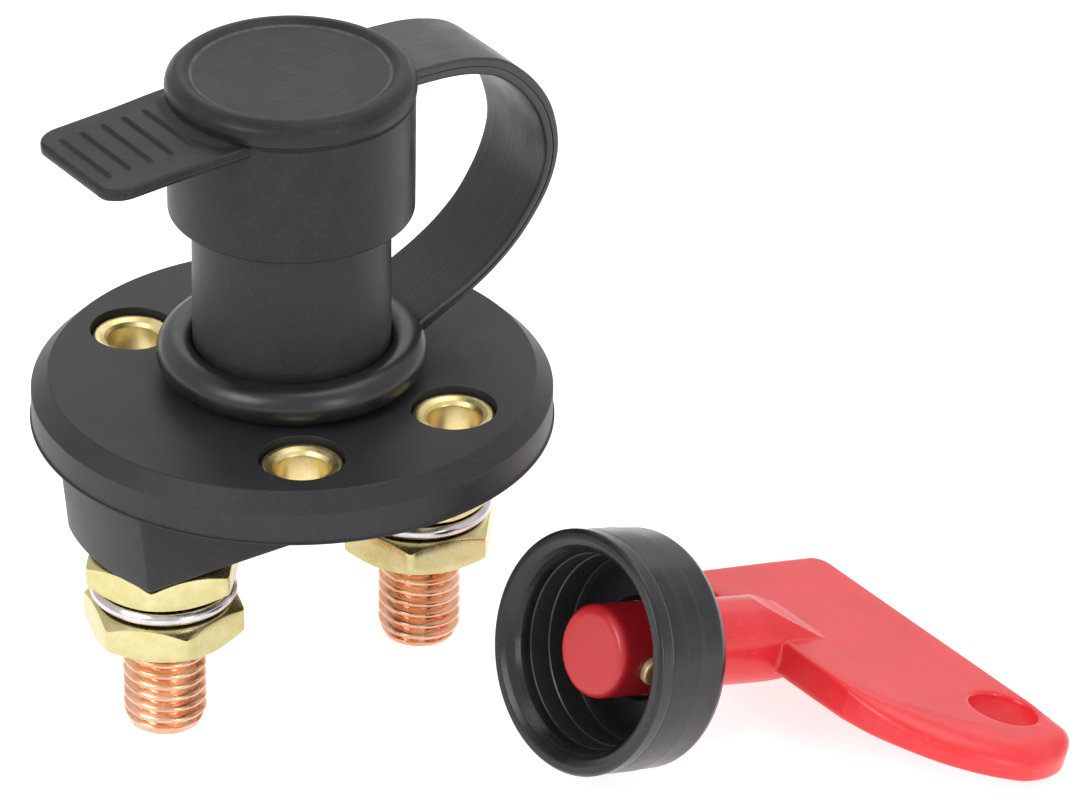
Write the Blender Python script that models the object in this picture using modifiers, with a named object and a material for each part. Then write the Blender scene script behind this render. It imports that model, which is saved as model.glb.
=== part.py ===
"""Battery isolating switch with a lift-off weather cover and a removable key.

Frame: +Z runs up the neck, the terminal studs stand on the X axis, and the
origin is where the neck's axis meets the underside of the base plate. The key
lies on the -Y side with its tip towards -X. Metres.
The constants below are in millimetres, and their heights are counted from the
flange's underside, the face that sits on the panel; the datum empty lifts
everything so that the base plate's underside lands on z = 0.
"""
import math

import bpy
import bmesh
from mathutils import Matrix, Vector

MM = 0.001
OVERRUN = 1.0      # how far a cutter runs past the face it opens
CLEARANCE = 0.3    # gap between parts that fit inside one another
QUARTER_TURN = math.radians(90.0)
SIDES = ((-1, "a"), (1, "b"))    # direction along X, suffix of the terminal's parts

# ---- housing -------------------------------------------------------------
FLANGE_R = 30.65
FLANGE_T = 6.05
FLANGE_CHAMFER = 2.0
FLANGE_LOWER_EDGE = 0.2
NECK_R = 11.6
NECK_TOP = 41.5
NECK_EDGE = 0.35
NECK_BORE_R = 9.0
NECK_LIP_Z = 39.7
BORE_OVERLAP = 1.5       # the neck bore starts this far below the cavity's ceiling
KEYHOLE_R = 6.1
SLOT_W = 4.2
SLOT_R = 7.4
BLOCK_HALF_W = 9.0
BLOCK_END_R = 27.0
BLOCK_TOP_R = 28.3
BLOCK_BOTTOM = -12.0
BLOCK_OVERLAP = 0.3      # the terminal block reaches this far into the flange
BLOCK_TRIM_HALF_L = 40.0
CAVITY_HALF_L = 24.4
CAVITY_HALF_W = 7.1
CAVITY_TOP = 2.0

# ---- screw holes and eyelets ----------------------------------------------
HOLE_CIRCLE_R = 21.0
HOLE_ANGLES = (60.0, 120.0, 240.0, 300.0)
COUNTERBORE_R = 5.05
COUNTERBORE_DEPTH = 2.0
EYELET_BORE_R = 3.1
EYELET_BARREL_R = 3.7
EYELET_FLANGE_R = 4.75
EYELET_BOTTOM = 0.2
EYELET_SEAT = FLANGE_T - COUNTERBORE_DEPTH
EYELET_FLANGE_BOTTOM = EYELET_SEAT + 0.25
EYELET_FLANGE_TOP = EYELET_SEAT + 0.95

# ---- base plate -------------------------------------------------------------
PLATE_TOP = -8.0
PLATE_BOTTOM = -11.8
PLATE_HALF_L = CAVITY_HALF_L - CLEARANCE
PLATE_HALF_W = CAVITY_HALF_W - CLEARANCE
PLATE_EDGE = 0.4
PAD_HALF_L = 7.8
PAD_RISE = 0.25
POCKET_R = 6.2
POCKET_CORE_R = 3.4
POCKET_FLOOR = -10.6

# ---- terminals ---------------------------------------------------------------
STUD_X = 18.05
STUD_R = 4.9
STUD_END_R = 4.4
STUD_END_Z = -35.62
STUD_TAPER_L = 1.2
HEAD_R = 6.3
HEAD_TOP = -4.5
HEAD_BOTTOM = -7.75
HEAD_EDGE = 0.3
NUT_AF = 17.0
NUT_CORNER_R = NUT_AF / math.sqrt(3.0)
NUT_BORE_R = 5.2
NUT_FACE_R = 8.35
NUT_CHAMFER_DROP = 0.95
WASHER_R = 8.6
WASHER_BORE_R = 5.35
WASHER_T = 1.65
WASHER_RISE = 0.3
WASHER_OPENING_DEG = 10.0
WASHER_STEPS = 30
STACK_GAP = 0.25         # between the washer and the nut on either side
UPPER_NUT_TOP = -12.25
UPPER_NUT_T = 4.1
WASHER_TOP = UPPER_NUT_TOP - UPPER_NUT_T - STACK_GAP
LOWER_NUT_TOP = WASHER_TOP - WASHER_RISE - WASHER_T - STACK_GAP
LOWER_NUT_T = 4.5
# Turn of the upper nut, turn of the lower nut, direction of the washer's opening (degrees).
TERMINAL_TURNS = {"a": (49.0, 14.0, 120.0), "b": (20.0, 50.0, 40.0)}

# ---- contact drive -------------------------------------------------------------
SLEEVE_R = NECK_BORE_R - CLEARANCE
SLEEVE_TOP = NECK_LIP_Z - CLEARANCE
SLEEVE_BOTTOM = 18.4
SLEEVE_EDGE = 0.3
SOCKET_FLOOR = 29.0
SOCKET_CLEARANCE = 0.4
PIN_SLOT_HALF_L = 7.2
PIN_SLOT_HALF_W = 1.95
FINGER_TIP = 15.4
FINGER_IN_R = 4.2
FINGER_DEG = 24.0
FINGER_RELIEF_R = 12.0
PLUNGER_DISC_TOP = 11.6
PLUNGER_DISC_BOTTOM = 7.6
PLUNGER_R = 8.6
PLUNGER_NECK_R = 5.4
RAMP_IN_R = 4.8
RAMP_OUT_R = 8.2
RAMP_INSET_DEG = 2.0     # from the finger's edge to the ramp's low end
RAMP_DEG = 118.0
RAMP_REST_DEG = 22.0     # level run at the low end
RAMP_CLIMB_DEG = 90.0
RAMP_RISE = 3.0
RAMP_STEPS = 14
STEM_HALF = 3.4
STEM_END = -2.6
BRIDGE_TOP = 0.5
BRIDGE_BOTTOM = -1.5
BRIDGE_HALF_L = 23.0
BRIDGE_HALF_W = 5.6
BRIDGE_EDGE = 0.35
SPRING_MEAN_R = 5.4
SPRING_WIRE_R = 0.4
SPRING_BOTTOM = -10.1
SPRING_TOP = -2.0
SPRING_TURNS = 4.5
SPRING_STEPS_PER_TURN = 14

# ---- weather cover ----------------------------------------------------------------
RING_MID_R = 13.47
RING_TUBE_R = 2.2
RING_BORE_R = 11.87
RING_SEAT = 6.3
RING_SECTION_POINTS = 14
CAP_BORE_R = 11.9
CAP_SKIRT_R = 14.4
CAP_BOTTOM = 27.65
CAP_CEILING = 41.85
CAP_DISC_Z = 45.3
CAP_DISC_R = 11.3
CAP_BEAD_R = 14.62
TAB_HALF_W = 8.55
TAB_END_X = -29.9
TAB_ROOT_R = 13.2
TAB_TOP_Z = 42.5
TAB_T = 1.5
TAB_DROOP_DEG = 3.0
TAB_CORNER_R = 3.4
RIB_XS = (-16.3, -19.1, -21.9, -24.7, -27.4)
RIB_HALF_L = 5.3
RIB_W = 1.2
RIB_H = 0.45
RIB_SINK = 0.4           # extra rib height, half of which goes to each face
RIB_DROP = 0.2
STRAP_HALF_W = 5.9
STRAP_EDGE = 0.35
# Stations down the strap's middle, from the cap to the ring: x, z, thickness.
STRAP_STATIONS = [
    (15.3, 43.30, 2.2), (18.6, 43.05, 2.2), (21.6, 42.45, 2.2), (25.0, 41.0, 2.2),
    (28.2, 38.1, 2.1), (30.7, 34.6, 2.0), (32.0, 31.2, 1.7), (32.4, 27.9, 1.45),
    (31.7, 24.8, 1.4), (30.3, 21.9, 1.4), (27.6, 18.5, 1.4), (24.4, 15.7, 1.4),
    (21.2, 13.7, 1.4), (18.4, 12.3, 1.4), (15.9, 11.55, 1.2), (14.0, 11.35, 0.9)]

# ---- key ------------------------------------------------------------------------------
# Key frame: local Z runs from the shank's tip to the blade, local X is the lever's direction.
KEY_TIP = (15.487, -39.266, -18.032)
KEY_HEADING_DEG = 4.539
KEY_SLOPE_DEG = 16.836
KEY_ROLL_DEG = -2.726
SHANK_R = 5.5
SHANK_ROUND = 1.3
SHANK_END = 11.0
HUB_R = 5.2
HUB_START = 13.0
HUB_FACET_START = 24.4
HUB_END = 32.6
FACET_EXTRA = 0.15
FACET_CUTTER = (20.0, 8.0, 30.0)
BLADE_HALF_T = 2.0
BLADE_NEAR = 26.2
BLADE_FAR = 49.8
BLADE_EDGE = 0.9
BLADE_HUB_OVERLAP = 1.0
BLADE_CORNER_X = -12.6
BLADE_CORNER_R = 2.7
LANYARD_Z = 44.4
LANYARD_X = 24.2
LANYARD_R = 4.26
LANYARD_CUT_HALF_L = 10.0
PIN_Z = 5.0
PIN_R = 1.6
PIN_HALF_L = 6.3
PIN_EDGE = 0.3
PIN_HOLE_CLEARANCE = 0.25
PIN_CUT_HALF_L = 12.0
BOOT_FRONT = -2.25
BOOT_BACK = 9.3
BOOT_R = 14.42
BOOT_LIP_R = 12.6
BOOT_BORE_R = SHANK_R + 0.3
# Far side of the lever arm: local X, height above BLADE_NEAR.
BLADE_ARM = [
    (14.0, 0.0), (17.0, 0.1), (19.6, 0.5), (22.0, 1.3), (24.6, 2.6), (27.0, 4.0),
    (29.2, 5.6), (31.4, 7.8), (33.2, 10.4), (34.6, 13.2), (35.1, 15.4), (34.9, 17.6),
    (33.8, 20.0), (32.0, 22.0), (29.8, 23.2)]
# Near corner at the blade's -X end, in the same columns.
BLADE_HEEL = [(-13.2, 1.4), (-12.8, 0.5), (-11.8, 0.0)]


# ---- scene ------------------------------------------------------------------------------
for old in list(bpy.data.objects):
    bpy.data.objects.remove(old, do_unlink=True)

parts = bpy.data.collections.new("battery_switch")
cutters = bpy.data.collections.new("cutters")
bpy.context.scene.collection.children.link(parts)
bpy.context.scene.collection.children.link(cutters)


# ---- materials ----------------------------------------------------------------------------
def material(name, rgb, roughness, metallic):
    mat = bpy.data.materials.new(name)
    mat.use_nodes = True
    shader = mat.node_tree.nodes["Principled BSDF"]
    shader.inputs["Base Color"].default_value = (*rgb, 1.0)
    shader.inputs["Roughness"].default_value = roughness
    shader.inputs["Metallic"].default_value = metallic
    mat.diffuse_color = (*rgb, 1.0)
    return mat


def dull(name, rgb, roughness):
    return material(name, rgb, roughness, metallic=0.0)


def metal(name, rgb, roughness):
    return material(name, rgb, roughness, metallic=1.0)


black_plastic = dull("black_plastic", rgb=(0.060, 0.060, 0.063), roughness=0.42)
black_rubber = dull("black_rubber", rgb=(0.075, 0.076, 0.080), roughness=0.55)
boot_rubber = dull("boot_rubber", rgb=(0.035, 0.037, 0.040), roughness=0.38)
eyelet_brass = metal("eyelet_brass", rgb=(0.80, 0.62, 0.24), roughness=0.25)
nut_brass = metal("nut_brass", rgb=(0.78, 0.70, 0.38), roughness=0.30)
washer_steel = metal("washer_steel", rgb=(0.66, 0.65, 0.66), roughness=0.28)
stud_copper = metal("stud_copper", rgb=(0.78, 0.40, 0.24), roughness=0.30)
bridge_copper = metal("bridge_copper", rgb=(0.75, 0.38, 0.22), roughness=0.35)
spring_steel = metal("spring_steel", rgb=(0.60, 0.61, 0.63), roughness=0.32)
grey_nylon = dull("grey_nylon", rgb=(0.52, 0.52, 0.50), roughness=0.50)
base_phenolic = dull("base_phenolic", rgb=(0.050, 0.048, 0.046), roughness=0.50)
red_plastic = dull("red_plastic", rgb=(0.82, 0.045, 0.055), roughness=0.32)
pin_brass = metal("pin_brass", rgb=(0.76, 0.56, 0.28), roughness=0.30)


# ---- modelling helpers: all take millimetres ------------------------------------------------
def mm(*values):
    return tuple(value * MM for value in values)


def finish(ob, mat, sharp_deg=35.0):
    ob.data.materials.append(mat)
    ob.data.shade_smooth()
    ob.data.set_sharp_from_angle(angle=math.radians(sharp_deg))


def new_object(name, bm, collection):
    mesh = bpy.data.meshes.new(name)
    bm.to_mesh(mesh)
    bm.free()
    ob = bpy.data.objects.new(name, mesh)
    collection.objects.link(ob)
    if collection is cutters:
        ob.hide_render = True
        ob.display_type = 'WIRE'
    return ob


def new_empty(name):
    empty = bpy.data.objects.new(name, None)
    parts.objects.link(empty)
    return empty


def turned(name, profile, steps, closed=False, collection=parts):
    """A profile of (radius, height) pairs at +X, swept once around Z."""
    bm = bmesh.new()
    verts = [bm.verts.new(mm(radius, 0.0, z)) for radius, z in profile]
    for start, end in zip(verts, verts[1:]):
        bm.edges.new((start, end))
    if closed:
        bm.edges.new((verts[-1], verts[0]))
    ob = new_object(name, bm, collection)
    mod = ob.modifiers.new("Turn", 'SCREW')
    mod.axis = 'Z'
    mod.angle = math.tau
    mod.steps = steps
    mod.render_steps = steps
    mod.use_merge_vertices = True
    mod.merge_threshold = 0.00001
    mod.use_smooth_shade = True
    return ob


def rod(name, radius, bottom, top, sides, x=0.0, y=0.0, top_radius=None, collection=cutters):
    bm = bmesh.new()
    bmesh.ops.create_cone(bm, cap_ends=True, segments=sides, radius1=radius * MM,
                          radius2=(radius if top_radius is None else top_radius) * MM,
                          depth=(top - bottom) * MM)
    ob = new_object(name, bm, collection)
    ob.location = mm(x, y, 0.5 * (bottom + top))
    return ob


def box(name, size, centre=(0.0, 0.0, 0.0), collection=cutters):
    """A box whose centre stands off from its object's origin."""
    bm = bmesh.new()
    bmesh.ops.create_cube(bm, size=1.0, matrix=Matrix.Translation(mm(*centre))
                          @ Matrix.Diagonal((*mm(*size), 1.0)))
    return new_object(name, bm, collection)


def block(name, low, high, collection=cutters):
    """A box between two corners, with its origin at its centre."""
    ob = box(name, [h - l for l, h in zip(low, high)], collection=collection)
    ob.location = mm(*(0.5 * (l + h) for l, h in zip(low, high)))
    return ob


def boolean(ob, tool, operation='DIFFERENCE'):
    mod = ob.modifiers.new(operation.title() + " " + tool.name, 'BOOLEAN')
    mod.operation = operation
    mod.solver = 'EXACT'
    mod.object = tool


def bevel(ob, width, segments=1, angle=50.0):
    mod = ob.modifiers.new("Bevel", 'BEVEL')
    mod.width = width * MM
    mod.segments = segments
    mod.limit_method = 'ANGLE'
    mod.angle_limit = math.radians(angle)


def object_from_curve(name, curve, collection):
    """Turns a curve into a welded mesh object with outward normals."""
    source = bpy.data.objects.new(name + "_curve", curve)
    cutters.objects.link(source)
    graph = bpy.context.evaluated_depsgraph_get()
    mesh = bpy.data.meshes.new_from_object(source.evaluated_get(graph))
    bm = bmesh.new()
    bm.from_mesh(mesh)
    bmesh.ops.remove_doubles(bm, verts=bm.verts, dist=0.000005)
    bmesh.ops.recalc_face_normals(bm, faces=bm.faces)
    bpy.data.objects.remove(source, do_unlink=True)
    bpy.data.meshes.remove(mesh)
    return new_object(name, bm, collection)


def plate_from_outline(name, outline, half_thickness):
    """A cutter: a closed flat outline, extruded equally to both sides of z = 0."""
    curve = bpy.data.curves.new(name, 'CURVE')
    curve.dimensions = '2D'
    curve.fill_mode = 'BOTH'
    curve.extrude = half_thickness * MM
    line = curve.splines.new('POLY')
    line.points.add(len(outline) - 1)
    for point, (x, y) in zip(line.points, outline):
        point.co = (*mm(x, y, 0.0), 1.0)
    line.use_cyclic_u = True
    return object_from_curve(name, curve, cutters)


def loft(name, sections, collection=parts):
    """Quads between like sections (lists of points), closed at both ends."""
    bm = bmesh.new()
    rows = [[bm.verts.new(Vector(point) * MM) for point in section] for section in sections]
    count = len(rows[0])
    for low, high in zip(rows, rows[1:]):
        for i in range(count):
            j = (i + 1) % count
            bm.faces.new((low[i], low[j], high[j], high[i]))
    bm.faces.new(list(reversed(rows[0])))
    bm.faces.new(rows[-1])
    bmesh.ops.recalc_face_normals(bm, faces=bm.faces)
    return new_object(name, bm, collection)


def arc(centre_x, centre_y, radius, start_deg, end_deg, steps):
    angles = [math.radians(start_deg + (end_deg - start_deg) * i / steps)
              for i in range(steps + 1)]
    return [(centre_x + radius * math.cos(angle), centre_y + radius * math.sin(angle))
            for angle in angles]


def smooth_path(points, per_span):
    """Catmull-Rom curve through the given stations, column by column."""
    path = []
    for k in range(len(points) - 1):
        stations = (points[max(k - 1, 0)], points[k], points[k + 1],
                    points[min(k + 2, len(points) - 1)])
        for i in range(per_span):
            t = i / per_span
            path.append(tuple(
                0.5 * (2 * start + (end - before) * t
                       + (2 * before - 5 * start + 4 * end - after) * t * t
                       + (3 * start - before - 3 * end + after) * t ** 3)
                for before, start, end, after in zip(*stations)))
    path.append(tuple(points[-1]))
    return path


def hole_centres():
    return [(HOLE_CIRCLE_R * math.cos(math.radians(angle)),
             HOLE_CIRCLE_R * math.sin(math.radians(angle))) for angle in HOLE_ANGLES]


# ---- housing: flange, neck and terminal block in one moulding ------------------------
def build_housing():
    housing = turned("housing", [
        (0.0, NECK_TOP), (NECK_R - NECK_EDGE, NECK_TOP), (NECK_R, NECK_TOP - NECK_EDGE),
        (NECK_R, FLANGE_T), (FLANGE_R - FLANGE_CHAMFER, FLANGE_T),
        (FLANGE_R, FLANGE_T - FLANGE_CHAMFER), (FLANGE_R, FLANGE_LOWER_EDGE),
        (FLANGE_R - FLANGE_LOWER_EDGE, 0.0), (0.0, 0.0)], steps=72)
    below_block = BLOCK_BOTTOM - OVERRUN
    terminal_block = rod("terminal_block_form", BLOCK_END_R, BLOCK_BOTTOM, BLOCK_OVERLAP,
                         sides=72, top_radius=BLOCK_TOP_R)
    boolean(terminal_block, block("block_sides", (-BLOCK_TRIM_HALF_L, -BLOCK_HALF_W, below_block),
                                  (BLOCK_TRIM_HALF_L, BLOCK_HALF_W, OVERRUN)), 'INTERSECT')
    boolean(housing, terminal_block, 'UNION')
    boolean(housing, block("contact_cavity", (-CAVITY_HALF_L, -CAVITY_HALF_W, below_block),
                           (CAVITY_HALF_L, CAVITY_HALF_W, CAVITY_TOP)))
    boolean(housing, rod("neck_bore", NECK_BORE_R, CAVITY_TOP - BORE_OVERLAP, NECK_LIP_Z,
                         sides=64))
    boolean(housing, rod("key_hole", KEYHOLE_R, NECK_LIP_Z - OVERRUN, NECK_TOP + OVERRUN,
                         sides=48))
    boolean(housing, block("key_slots", (-SLOT_R, -SLOT_W / 2, NECK_LIP_Z - OVERRUN),
                           (SLOT_R, SLOT_W / 2, NECK_TOP + OVERRUN)))
    for index, (x, y) in enumerate(hole_centres()):
        boolean(housing, rod("screw_hole_%d" % index, EYELET_BARREL_R + CLEARANCE, -OVERRUN,
                             FLANGE_T + OVERRUN, sides=20, x=x, y=y))
        boolean(housing, rod("counterbore_%d" % index, COUNTERBORE_R, EYELET_SEAT,
                             FLANGE_T + 2 * OVERRUN, sides=24, x=x, y=y))
    finish(housing, black_plastic)


def build_eyelets():
    """Brass eyelets that line the screw holes."""
    profile = [
        (EYELET_BARREL_R, EYELET_FLANGE_BOTTOM), (EYELET_BARREL_R, EYELET_BOTTOM),
        (EYELET_BORE_R, EYELET_BOTTOM), (EYELET_BORE_R, EYELET_SEAT - 0.1),
        (EYELET_BORE_R + 0.45, EYELET_SEAT + 0.65), (EYELET_BORE_R + 0.95, EYELET_FLANGE_TOP),
        (EYELET_FLANGE_R - 0.2, EYELET_FLANGE_TOP), (EYELET_FLANGE_R, EYELET_SEAT + 0.7),
        (EYELET_FLANGE_R, EYELET_FLANGE_BOTTOM)]
    for suffix, (x, y) in zip("abcd", hole_centres()):
        eyelet = turned("eyelet_" + suffix, profile, steps=20, closed=True)
        eyelet.location = mm(x, y, 0.0)
        finish(eyelet, eyelet_brass)


# ---- base plate under the contact cavity --------------------------------------------------
def build_base_plate():
    plate = block("base_plate", (-PLATE_HALF_L, -PLATE_HALF_W, PLATE_BOTTOM),
                  (PLATE_HALF_L, PLATE_HALF_W, PLATE_TOP), collection=parts)
    bevel(plate, PLATE_EDGE)
    for side, suffix in SIDES:
        boolean(plate, rod("plate_hole_" + suffix, STUD_R + CLEARANCE, PLATE_BOTTOM - OVERRUN,
                           PLATE_TOP + OVERRUN, sides=40, x=side * STUD_X))
    boolean(plate, turned("spring_pocket", [
        (POCKET_R, PLATE_TOP + OVERRUN), (POCKET_R, POCKET_FLOOR), (POCKET_CORE_R, POCKET_FLOOR),
        (POCKET_CORE_R, PLATE_TOP + OVERRUN)], steps=40, closed=True, collection=cutters))
    # The underside is relieved round each terminal, so the middle pad stands proud of it.
    for side, suffix in SIDES:
        x_low, x_high = sorted((side * PAD_HALF_L, side * (PLATE_HALF_L + OVERRUN)))
        boolean(plate, block("plate_relief_" + suffix,
                             (x_low, -PLATE_HALF_W - OVERRUN, PLATE_BOTTOM - OVERRUN),
                             (x_high, PLATE_HALF_W + OVERRUN, PLATE_BOTTOM + PAD_RISE)))
    finish(plate, base_phenolic)


# ---- terminal studs, nuts and spring washers -------------------------------------------------
def build_stud(name, x):
    stud = turned(name, [
        (0.0, HEAD_TOP), (HEAD_R - HEAD_EDGE, HEAD_TOP), (HEAD_R, HEAD_TOP - HEAD_EDGE),
        (HEAD_R, HEAD_BOTTOM), (STUD_R, HEAD_BOTTOM), (STUD_R, STUD_END_Z + STUD_TAPER_L),
        (STUD_END_R, STUD_END_Z), (0.0, STUD_END_Z)], steps=32)
    stud.location = mm(x, 0.0, 0.0)
    finish(stud, stud_copper)


def build_nut(name, top, thickness, x, turn_deg):
    """A six-sided prism with its corners chamfered on both faces."""
    nut = rod(name, NUT_CORNER_R, top - thickness, top, sides=6, x=x, collection=parts)
    nut.rotation_euler = (0.0, 0.0, math.radians(turn_deg))
    half = thickness / 2
    face = half + 0.02
    rim_r = NUT_CORNER_R + 0.3
    rim = half - NUT_CHAMFER_DROP
    lens = turned(name + "_chamfer", [
        (0.0, face), (NUT_FACE_R, face), (rim_r, rim), (rim_r, -rim), (NUT_FACE_R, -face),
        (0.0, -face)], steps=36, collection=cutters)
    lens.location = nut.location
    boolean(nut, lens, 'INTERSECT')
    boolean(nut, rod(name + "_bore", NUT_BORE_R, top - thickness - OVERRUN, top + OVERRUN,
                     sides=28, x=x))
    finish(nut, nut_brass, sharp_deg=20.0)


def build_spring_washer(name, x, opening_deg):
    """One open turn of square wire whose two ends stand a little apart."""
    sections = []
    for i in range(WASHER_STEPS + 1):
        along = i / WASHER_STEPS
        angle = math.radians(opening_deg + WASHER_OPENING_DEG / 2
                             + (360.0 - WASHER_OPENING_DEG) * along)
        top = WASHER_TOP - WASHER_RISE * along
        sections.append([(radius * math.cos(angle), radius * math.sin(angle), z)
                         for radius, z in ((WASHER_BORE_R, top), (WASHER_R, top),
                                           (WASHER_R, top - WASHER_T),
                                           (WASHER_BORE_R, top - WASHER_T))])
    washer = loft(name, sections)
    washer.location = mm(x, 0.0, 0.0)
    finish(washer, washer_steel)


def build_terminals():
    for side, suffix in SIDES:
        x = side * STUD_X
        upper_turn, lower_turn, opening = TERMINAL_TURNS[suffix]
        build_stud("stud_" + suffix, x)
        build_nut("upper_nut_" + suffix, UPPER_NUT_TOP, UPPER_NUT_T, x, upper_turn)
        build_spring_washer("spring_washer_" + suffix, x, opening)
        build_nut("lower_nut_" + suffix, LOWER_NUT_TOP, LOWER_NUT_T, x, lower_turn)


# ---- contact drive ------------------------------------------------------------------------
def build_sleeve():
    """Drive sleeve: takes the key's cross pin and carries two cam fingers."""
    sleeve = turned("drive_sleeve", [
        (0.0, SLEEVE_TOP), (SLEEVE_R - SLEEVE_EDGE, SLEEVE_TOP),
        (SLEEVE_R, SLEEVE_TOP - SLEEVE_EDGE), (SLEEVE_R, FINGER_TIP), (FINGER_IN_R, FINGER_TIP),
        (FINGER_IN_R, SLEEVE_BOTTOM), (0.0, SLEEVE_BOTTOM)], steps=64)
    above = SLEEVE_TOP + OVERRUN
    boolean(sleeve, rod("key_socket", SHANK_R + SOCKET_CLEARANCE, SOCKET_FLOOR, above, sides=40))
    boolean(sleeve, block("pin_slots", (-PIN_SLOT_HALF_L, -PIN_SLOT_HALF_W, SOCKET_FLOOR + 1),
                          (PIN_SLOT_HALF_L, PIN_SLOT_HALF_W, above)))
    # The skirt below the sleeve is cut back between the two fingers.
    half_height = (SLEEVE_BOTTOM - FINGER_TIP + 2 * OVERRUN) / 2
    for index in range(2):
        start = FINGER_DEG + 180.0 * index
        sector = [(0.0, 0.0)] + arc(0.0, 0.0, FINGER_RELIEF_R, start,
                                    180.0 * (index + 1), steps=10)
        relief = plate_from_outline("finger_relief_%d" % index, sector, half_height)
        relief.location = mm(0.0, 0.0, SLEEVE_BOTTOM - half_height)
        boolean(sleeve, relief)
    finish(sleeve, grey_nylon)


def build_ramp(index):
    """Rises clockwise, seen from +Z, from under one finger."""
    sections = []
    for i in range(RAMP_STEPS + 1):
        turn = RAMP_DEG * (i / RAMP_STEPS)
        angle = math.radians(FINGER_DEG + 180.0 * index - RAMP_INSET_DEG - turn)
        rise = min(max((turn - RAMP_REST_DEG) / RAMP_CLIMB_DEG, 0.0), 1.0) * RAMP_RISE
        top = FINGER_TIP - CLEARANCE + rise
        bottom = PLUNGER_DISC_TOP - 1
        sections.append([(radius * math.cos(angle), radius * math.sin(angle), z)
                         for radius, z in ((RAMP_IN_R, bottom), (RAMP_OUT_R, bottom),
                                           (RAMP_OUT_R, top), (RAMP_IN_R, top))])
    return loft("ramp_%d" % index, sections, collection=cutters)


def build_plunger():
    """Two ramps on a disc, and a square stem through the bridge."""
    neck_end = BRIDGE_TOP + CLEARANCE
    plunger = turned("plunger", [
        (0.0, PLUNGER_DISC_TOP), (PLUNGER_R, PLUNGER_DISC_TOP), (PLUNGER_R, PLUNGER_DISC_BOTTOM),
        (PLUNGER_NECK_R, PLUNGER_DISC_BOTTOM), (PLUNGER_NECK_R, neck_end), (0.0, neck_end)],
        steps=56)
    boolean(plunger, block("plunger_stem_form", (-STEM_HALF, -STEM_HALF, STEM_END),
                           (STEM_HALF, STEM_HALF, BRIDGE_TOP + 2)), 'UNION')
    for index in range(2):
        boolean(plunger, build_ramp(index), 'UNION')
    finish(plunger, grey_nylon)


def build_bridge():
    bridge = block("contact_bridge", (-BRIDGE_HALF_L, -BRIDGE_HALF_W, BRIDGE_BOTTOM),
                   (BRIDGE_HALF_L, BRIDGE_HALF_W, BRIDGE_TOP), collection=parts)
    bevel(bridge, BRIDGE_EDGE)
    half = STEM_HALF + CLEARANCE
    boolean(bridge, block("bridge_window", (-half, -half, BRIDGE_BOTTOM - OVERRUN),
                          (half, half, BRIDGE_TOP + OVERRUN)))
    finish(bridge, bridge_copper)


def build_spring():
    coil = bpy.data.curves.new("return_spring", 'CURVE')
    coil.dimensions = '3D'
    coil.bevel_depth = SPRING_WIRE_R * MM
    coil.bevel_resolution = 2
    coil.use_fill_caps = True
    wire = coil.splines.new('POLY')
    steps = int(SPRING_STEPS_PER_TURN * SPRING_TURNS)
    wire.points.add(steps)
    for i, point in enumerate(wire.points):
        angle = math.tau * i / SPRING_STEPS_PER_TURN
        z = SPRING_BOTTOM + (SPRING_TOP - SPRING_BOTTOM) * i / steps
        point.co = (*mm(SPRING_MEAN_R * math.cos(angle), SPRING_MEAN_R * math.sin(angle), z), 1.0)
    finish(object_from_curve("return_spring", coil, parts), spring_steel, sharp_deg=60.0)


# ---- weather cover: ring round the neck, strap, and cap with its pull tab -----------------------
def build_cover_ring():
    """A round tube, flattened against the neck and on its seat."""
    section = []
    for i in range(RING_SECTION_POINTS):
        angle = math.radians(90.0 - 360.0 * i / RING_SECTION_POINTS)
        section.append((max(RING_MID_R + RING_TUBE_R * math.cos(angle), RING_BORE_R),
                        max(FLANGE_T + RING_TUBE_R + RING_TUBE_R * math.sin(angle), RING_SEAT)))
    finish(turned("cover_ring", section, steps=48, closed=True), black_rubber, sharp_deg=60.0)


def build_strap():
    path = smooth_path(STRAP_STATIONS, per_span=2)
    wide, edge = STRAP_HALF_W, STRAP_EDGE
    sections = []
    for k, (x, z, thickness) in enumerate(path):
        before = path[max(k - 1, 0)]
        after = path[min(k + 1, len(path) - 1)]
        run, climb = after[0] - before[0], after[1] - before[1]
        length = math.hypot(run, climb)
        normal_x, normal_z = climb / length, -run / length
        half = thickness / 2
        # Rectangle with cut corners: distance along the normal, y.
        outline = [(half, edge - wide), (half, wide - edge), (half - edge, wide),
                   (edge - half, wide), (-half, wide - edge), (-half, edge - wide),
                   (edge - half, -wide), (half - edge, -wide)]
        sections.append([(x + normal_x * offset, y, z + normal_z * offset)
                         for offset, y in outline])
    finish(loft("cover_strap", sections), black_rubber, sharp_deg=40.0)


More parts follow.
